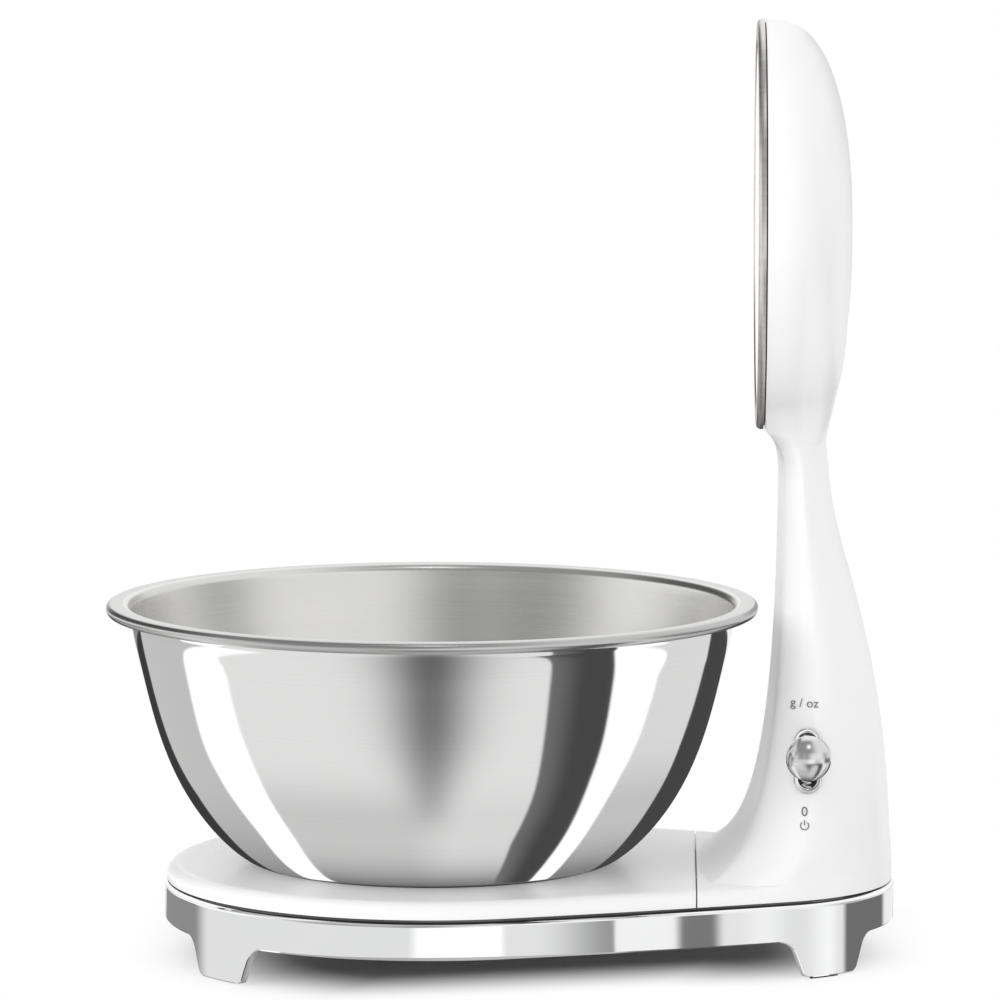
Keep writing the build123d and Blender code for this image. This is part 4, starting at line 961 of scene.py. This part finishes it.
def lever_bezel():
    """Oval chrome bezel with a rounded face, a collar behind it and an upright slot; its faces inside the
    slot are dark, painted shade of the slot.
    """
    lip, face = OVAL_PROUD, 0.5
    inner_w, inner_h = OVAL_W - 2 * OVAL_LIP, OVAL_H - 2 * OVAL_LIP
    back = -OVAL_SINK - COLLAR_L
    turn = np.linspace(0, PI / 2, 6)
    rounding = [(OVAL_W - 2 * face * (1 - math.cos(t)), OVAL_H - 2 * face * (1 - math.cos(t)),
                 lip - face + face * math.sin(t)) for t in turn]
    dish = [(SLOT_W + 1.0, SLOT_H + 1.0, lip - 0.15), (SLOT_W + 0.3, SLOT_H + 0.3, lip - 0.35)]
    sections = [(inner_w, inner_h, back), (inner_w, inner_h, -OVAL_SINK), (OVAL_W, OVAL_H, -OVAL_SINK)]
    sections += rounding + dish + [(SLOT_W, SLOT_H, lip - 0.7), (SLOT_W, SLOT_H, back)]
    points = oval_stack(sections)
    piece = grid_piece("lever_bezel", points, [CHROME, DARK], 40.0, wrap_rows=True, wrap_cols=True)
    # Faces below the bezel's face take the dark plastic: painted shade inside the slot
    inward = (face_values(piece.data, "center") / MM - LEVER_AT) @ LEVER_OUT < lip - 0.4
    piece.data.polygons.foreach_set("material_index", inward.astype(np.int32))
    return stand_for(piece, "lever_escutcheon", "base")


def ball_lever():
    """Chrome ball on a stem, turned about its own axis, with a hub across it and a thin tail behind."""
    ball = np.linspace(math.asin(STEM_R / BALL_R), PI, 60)
    neck = BALL_OUT - BALL_R * math.cos(ball[0])
    tip = np.linspace(0, PI - math.asin(TAIL_ROD_R / TIP_R), 16)
    end = -PIVOT_IN - TAIL_L
    profile = [(TIP_R * math.sin(t), end - TIP_R * math.cos(t)) for t in tip]
    profile += [(TAIL_ROD_R, -PIVOT_IN - STEM_R), (STEM_R, -PIVOT_IN), (STEM_R, 0), (STEM_R, neck - 0.2)]
    profile += [(BALL_R * math.sin(t), BALL_OUT - BALL_R * math.cos(t)) for t in ball]
    points = turned(profile, 72)
    faces = grid_faces(*points.shape[:2], wrap_rows=True)
    hub = turned([(0, -HUB_L / 2), (HUB_R, -HUB_L / 2), (HUB_R, HUB_L / 2), (0, HUB_L / 2)], 48)
    hub = np.stack([hub[..., 2], hub[..., 0], hub[..., 1] - PIVOT_IN], -1)
    more = np.array(grid_faces(*hub.shape[:2], wrap_rows=True)) + points.shape[0] * points.shape[1]
    both = on_lever(np.concatenate([points.reshape(-1, 3), hub.reshape(-1, 3)]))
    piece = add_mesh("ball_lever", both, faces + more.tolist(), [BALL_CHROME], 30.0)
    return stand_for(piece, "lever", "lever")


def printed_marks(column):
    """Small grey print on the column's side: units over the lever, a zero and a standby sign under it.

    The sign is an open ring with a bar in its gap. All of it is flat, then pressed on to the side."""
    flats = []
    for text, height, size in MARKS:
        line = bpy.data.curves.new("line", "FONT")
        line.body = text
        line.size = size
        line.align_x = "CENTER"
        line.align_y = "CENTER"
        holder = bpy.data.objects.new("line", line)
        bpy.context.scene.collection.objects.link(holder)
        letters = shaped(holder)
        flat = np.zeros(len(letters.vertices) * 3)
        letters.vertices.foreach_get("co", flat)
        sides = [list(face.vertices) for face in letters.polygons]
        flats.append((flat.reshape(-1, 3)[:, :2] + [0, height], sides))
        bpy.data.objects.remove(holder)
        bpy.data.meshes.remove(letters)
        bpy.data.curves.remove(line)
    turn = np.linspace(PI / 2 + 0.7, 5 * PI / 2 - 0.7, 40)[:, None, None]
    ring = np.concatenate([np.cos(turn), np.sin(turn)], -1) * np.array([1.15, 1.5])[:, None]
    bar = np.array([[[-0.18, 0.1], [0.18, 0.1]], [[-0.18, 1.75], [0.18, 1.75]]])
    for shape in (ring, bar):
        flats.append((shape.reshape(-1, 2) + [0, SIGN_Z], grid_faces(shape.shape[0], 2)))
    points, faces = [], []
    for flat, sides in flats:
        start = sum(len(done) for done in points)
        faces += [[start + corner for corner in side] for side in sides]
        before = np.full(len(flat), -70.0)
        points.append(np.column_stack([flat[:, 0] + LEVER_X - 1.0, before, flat[:, 1]]))
    piece = add_mesh("printed_marks", np.concatenate(points), faces, [MARK])
    fine = bmesh.new()
    fine.from_mesh(piece.data)
    bmesh.ops.triangulate(fine, faces=fine.faces)
    bmesh.ops.subdivide_edges(fine, edges=fine.edges, cuts=3, use_grid_fill=True)
    fine.to_mesh(piece.data)
    fine.free()
    press = piece.modifiers.new("press", "SHRINKWRAP")
    press.target = column
    press.wrap_method = "PROJECT"
    press.use_project_y = True
    press.use_negative_direction = False
    press.use_positive_direction = True
    press.wrap_mode = "ABOVE_SURFACE"
    press.offset = 0.25 * MM
    take_mesh(piece, shaped(piece))
    fixed_dark(piece)


# Display

def display_front():
    """Bright ring with a rounded front edge, the dark seal behind it and the lens inside it."""
    front, back = ring_low[0] + 0.5, ring_high[0]
    turn = np.linspace(0, PI / 2, 10)
    round_r, round_x = RING_R - RING_EDGE_R, front + RING_EDGE_R
    rim = [(round_r + RING_EDGE_R * math.cos(t), round_x - RING_EDGE_R * math.sin(t)) for t in turn]
    inner = RING_R - RING_W
    profile = [(inner, back), (RING_R, back)] + rim + [(inner + 0.5, front), (inner, front + 0.5)]
    ring = display_piece("ring_bright", profile, RING_METAL)
    stand_for(ring, "display_ring", "base")
    low, high = seal_low[0], seal_high[0]
    middle, soft = (low + high) / 2, 0.12
    gasket = [(RING_R - 11.0, low), (SEAL_R - soft, low), (SEAL_R, middle), (SEAL_R - soft, high),
              (RING_R - 11.0, high)]
    seal = display_piece("seal_dark", gasket, RUBBER)
    stand_for(seal, "display_seal", "base")
    front, back = lens_low[0], lens_high[0]
    edge = 0.6
    cover = [(0, back), (LENS_R, back), (LENS_R, front + edge), (LENS_R - 0.3 * edge, front + 0.3 * edge),
             (LENS_R - edge, front), (LENS_R - 3 * edge, front), (0, front)]
    lens = display_piece("lens_dark", cover, LENS, closed=False)
    stand_for(lens, "display_lens", "base")


mixing_bowl()
platform_plate()
trim_strip("platform_strip", bowl_path, PLATFORM_SEAM, "platform_trim", "platform")
trim_strip("column_strip", tail_path, COLUMN_SEAM, "column_trim", "base")
skirt_band()
seam_shade_sheet()
printed_marks(column_and_head())
lever_bezel()
ball_lever()
display_front()


# Stage: floor, light and camera

TO_CAMERA = Vector((0.02532, -0.98681, 0.15988))
FLOOR_HALF = 4.0
# Distances in mm from the base's outline over which the floor's glow rises; the front's starts inside the
# outline, as painted light under the base
FLOOR_GLOW_SPAN = (-46.0, 18.0)


def off_base(x, y):
    """How far a point of the floor lies outside the base's outline: the hull of its two end circles."""
    reach = TAIL_X - BOWL_X
    along = (x - BOWL_X + y.math("ABSOLUTE") * (SIDE_COS / SIDE_SIN)) * (1 / reach)
    along = along.math("MAXIMUM", 0.0).math("MINIMUM", 1.0)
    aside = x - BOWL_X - along * reach
    return (aside * aside + y * y) ** 0.5 + along * (BOWL_END_R - TAIL_R) - BOWL_END_R


def studio_floor():
    """Pale floor: white paint that keeps the part's shadow, and a white glow for the camera, full beyond
    the part, that rises from under the base's front as painted light over that shadow.
    """
    made = Finish("floor_white", Roughness=0.9, Specular_IOR_Level=0.1)
    x, y = made.along()[:2]
    made.colour((0.9, 0.9, 0.9), (0.93, 0.93, 0.93), made.noise(90.0, 2.0))
    # Painted light: on the front side the glow starts under the base and thins its shadow there
    front = off_base(x, y.math("MINIMUM", 0.0)).rise(*FLOOR_GLOW_SPAN)
    clear = front.math("MAXIMUM", off_base(x, y).rise(5, 60))
    seen = clear.node("ShaderNodeLightPath", output=0)
    glow = clear.node("ShaderNodeEmission", links={"Color": (1, 1, 1, 1), "Strength": 1.0})
    paint = Tone(made.tree, made.shader.outputs[0])
    mixed = clear.node("ShaderNodeMixShader", links={0: clear * seen, 1: paint, 2: glow})
    made.tree.links.new(mixed.socket, made.tree.nodes["Material Output"].inputs["Surface"])
    corners = np.array([[-1, -1, 0], [1, -1, 0], [1, 1, 0], [-1, 1, 0]]) * FLOOR_HALF / MM
    floor = add_mesh("studio_floor", corners, [[0, 1, 2, 3]], [made.material])
    floor.visible_glossy = False


# Edges of the low panels where the photo's view shows them on the bowl: (tilt below level, facing)
# of the wall there, in degrees, from the left
LEFT_DARK = [(11, -71.5), (16.6, -69.5), (20.5, -68), (25.5, -65), (36, -62), (51, -59.8)]
LEFT_WHITE = [(8.5, -44), (8.8, -49.5), (9.4, -51.8), (10.2, -52.4), (11, -52.6), (14, -52.6)]
LEFT_WHITE += [(17, -52), (20.5, -50.2), (25.5, -48), (31, -45.4), (36, -44.2), (51, -43.4)]
GREY = [(8.5, -26), (9, -32), (9.5, -38.5), (9.9, -41.6), (10.4, -42.2), (11.2, -41), (14, -39.8)]
GREY += [(17, -38.2), (20.5, -37), (25.5, -35.6), (31, -33.8), (36, -32.8), (51, -32.2)]
BAR = [(8.5, 6), (8.8, 14), (9.1, 21), (9.5, 24), (10.5, 24.7), (14, 24.6), (20.5, 24.2)]
BAR += [(25.5, 23.4), (31, 22), (36, 20.8), (51, 20)]
RIGHT_WHITE = [(8.5, 37.6), (11, 38.4), (14, 38.6), (17, 38), (20.5, 37), (25.5, 36.2)]
RIGHT_WHITE += [(31, 35.4), (36, 34.6), (42, 33.4), (51, 32.4)]
RIGHT_GREY = [(8.5, 42), (8.8, 47.5), (9.3, 51), (10, 52), (11, 51.8), (12.5, 50.6), (14, 49.2)]
RIGHT_GREY += [(17, 47.4), (20.5, 45.4), (25.5, 43.4), (31, 42), (36, 41.2), (42, 40), (51, 39.4)]
RIGHT_DARK = [(11, 68), (14, 65.8), (17, 64.8), (22.5, 63.4), (28, 61.8), (36, 60.5), (51, 60)]

# Turn of an edge, in degrees, from its own line of sight to TO_CAMERA: aside, and in tilt as (tilt, turn)
SIGHT_SPREAD = 1.3
SIGHT_ASIDE = 0.32
SIGHT_LIFT = [(12, -0.8), (14, -0.6), (17, -0.5), (20.5, -0.4), (25.5, -0.25), (31, -0.1), (36, 0)]

# Brightness of the low panels by tilt below level: a first level, then soft steps to the next,
# each as (start, end, level)
LEFT_LIGHT = (0.51, (18, 66, 0.2))
GREY_LEFT = (0.73, (16, 28, 0.56), (34, 62, 0.17), (63, 73, 0.02))
GREY_RIGHT = (0.735, (17, 28, 0.67), (35, 60, 0.2), (63, 73, 0.02))
RIGHT_LIGHT = (0.675, (14, 27, 0.525), (30, 56, 0.2))
DIP_DEPTH = (0.6, (9, 35, 0))
DIP_WIDTH = (10.6, (6, 26, 5))

# Brightness of the level panels by facing; the steps from 18 to 24 degrees are what the base's side shows
LEVEL = (0.9, (-83, -81, 0.25), (-60.5, -54, 0.735), (-3.8, -0.6, 1.02), (15.6, 18, 0.75))
LEVEL += ((18.25, 20.1, 0.28), (19.92, 19.98, 0.88), (21.17, 21.42, 0.18), (22, 22.3, 0.77))
LEVEL += ((22.5, 23.1, 0.86), (23.2, 23.8, 0.74), (26.5, 38, 0.92), (38, 43.5, 0.76))
LEVEL += ((43.5, 46.6, 0.15), (67.5, 72, 0.81))

# Panels just above level, which the inside of the bowl shows, and those higher up
INSIDE = (0.85, (-78, -68, 1.1), (-41, -21, 0.38), (-4, 12, 1), (33, 48, 0.52), (48.5, 61, 0.86))
HIGH = (0.88, (-83, -80, 0.09), (-51, -35, 0.33), (4, 30, 0.92), (72, 81, 0.45))


def sight_turned(edge):
    """An edge seen along TO_CAMERA everywhere: each point turns by half the angle between its own line of
    sight and that one, which goes with the sine of its facing and, in height, with its tilt."""
    tilt, facing = np.array(edge, float).T
    aside = SIGHT_SPREAD * np.sin(np.radians(facing)) - SIGHT_ASIDE
    lift = np.interp(tilt, *np.array(SIGHT_LIFT).T)
    return list(zip((tilt + lift).tolist(), (facing + aside).tolist()))


def panels(facing, tilt):
    """Brightness of the studio's panels, by the facing and tilt in degrees of what mirrors them."""
    low = tilt * -1.0
    soft = 0.45
    grey = low.stepped(*GREY_LEFT).mix(facing.rise(-6, 8), low.stepped(*GREY_RIGHT))
    below = grey - facing.bell(1.5, low.stepped(*DIP_WIDTH)) * low.stepped(*DIP_DEPTH)
    bar = 0.145 - (facing - low.curve(sight_turned(BAR))).rise(0, 8) * 0.085
    left, right = low.stepped(*LEFT_LIGHT), low.stepped(*RIGHT_LIGHT)
    layers = [(GREY, -soft, 1.02), (LEFT_WHITE, -soft, left), (LEFT_DARK, -soft, 0.04), (BAR, soft, bar)]
    layers += [(RIGHT_WHITE, soft, 1.02), (RIGHT_GREY, soft, right), (RIGHT_DARK, soft, 0.055)]
    for edge, way, level in layers:
        below = below.mix((facing - low.curve(sight_turned(edge))).rise(-way, way), level)
    below = below.mix(low.rise(60.5, 62.5), 0.13) * (1 - low.rise(63, 70) * 0.85)
    inside = facing.stepped(*INSIDE) + facing.bell(-10, 4) * 0.1
    above = inside.mix(tilt.rise(17, 25), facing.stepped(*HIGH))
    above = above + facing.bell(1.4, 4.5) * tilt.bell(40.0, 4.5) * 2.0
    above = above.mix(tilt.rise(54, 68), 1.05)
    shown = below.mix(tilt.rise(-4.9, -4.3), facing.stepped(*LEVEL)) * 1.15
    return shown.mix(tilt.rise(4.5, 7.5), above)


def studio_light():
    """World: white to the camera, even soft light to the part, and panels in what its metal mirrors."""
    world = bpy.data.worlds.new("studio")
    bpy.context.scene.world = world
    world.use_nodes = True
    tree = world.node_tree
    tree.nodes.clear()
    start = Tone(tree)
    way = start.node("ShaderNodeTexCoord", output=0)
    half = way.node("ShaderNodeVectorMath", {"operation": "ADD"}, {0: way, 1: tuple(TO_CAMERA)})
    half = way.node("ShaderNodeVectorMath", {"operation": "NORMALIZE"}, {0: half})
    parts = way.node("ShaderNodeSeparateXYZ", links={0: half}).socket.node.outputs
    x, y, z = [Tone(tree, parts[i]) for i in range(3)]
    degree = 180 / PI
    facing = x.math("ARCTAN2", y * -1.0) * degree
    tilt = z.math("ARCSINE") * degree
    mirrored = panels(facing, tilt)
    rays = tree.nodes.new("ShaderNodeLightPath").outputs
    camera = Tone(tree, rays["Is Camera Ray"])
    glossy = Tone(tree, rays["Is Glossy Ray"])
    through = Tone(tree, rays["Is Transmission Ray"])
    even = 0.91
    shown = glossy * (mirrored - even) + even
    seen = camera.math("MAXIMUM", through)
    shown = shown.mix(seen, 1.0)
    colour = shown.node("ShaderNodeCombineColor", links={0: shown, 1: shown, 2: shown})
    back = shown.node("ShaderNodeBackground", links={"Color": colour, "Strength": 1.0})
    out = tree.nodes.new("ShaderNodeOutputWorld")
    tree.links.new(back.socket, out.inputs["Surface"])


def soft_lamp(name, place, target, size, watts):
    """A large square lamp that looks at target and isn't mirrored in the metal."""
    lamp = bpy.data.lights.new(name, "AREA")
    lamp.shape = "SQUARE"
    lamp.size = size
    lamp.energy = watts
    made = bpy.data.objects.new(name, lamp)
    made.location = place
    made.rotation_euler = (Vector(target) - Vector(place)).to_track_quat("-Z", "Y").to_euler()
    made.visible_glossy = False
    bpy.context.scene.collection.objects.link(made)


def photo_camera():
    """Long lens, low on the lever's side, turned a little to the left and down."""
    lens = bpy.data.cameras.new("camera")
    lens.lens = 235.7
    lens.sensor_width = 36.0
    made = bpy.data.objects.new("camera", lens)
    made.location = (0.05624, -2.1912, 0.4001)
    made.rotation_euler = (PI / 2 - 0.1117, 0, 0.0257)
    bpy.context.scene.collection.objects.link(made)
    bpy.context.scene.camera = made


studio_floor()
studio_light()
soft_lamp("key_lamp", (-1.1, -1.5, 1.5), (0, 0, 0.12), 1.3, 5.0)
soft_lamp("low_lamp", (-1.6, -1.1, 0.5), (0.05, 0, 0.15), 0.9, 7.5)
soft_lamp("fill_lamp", (1.4, -1.2, 0.9), (0, 0, 0.12), 1.0, 1.5)
photo_camera()
bpy.context.scene.view_settings.view_transform = "Standard"
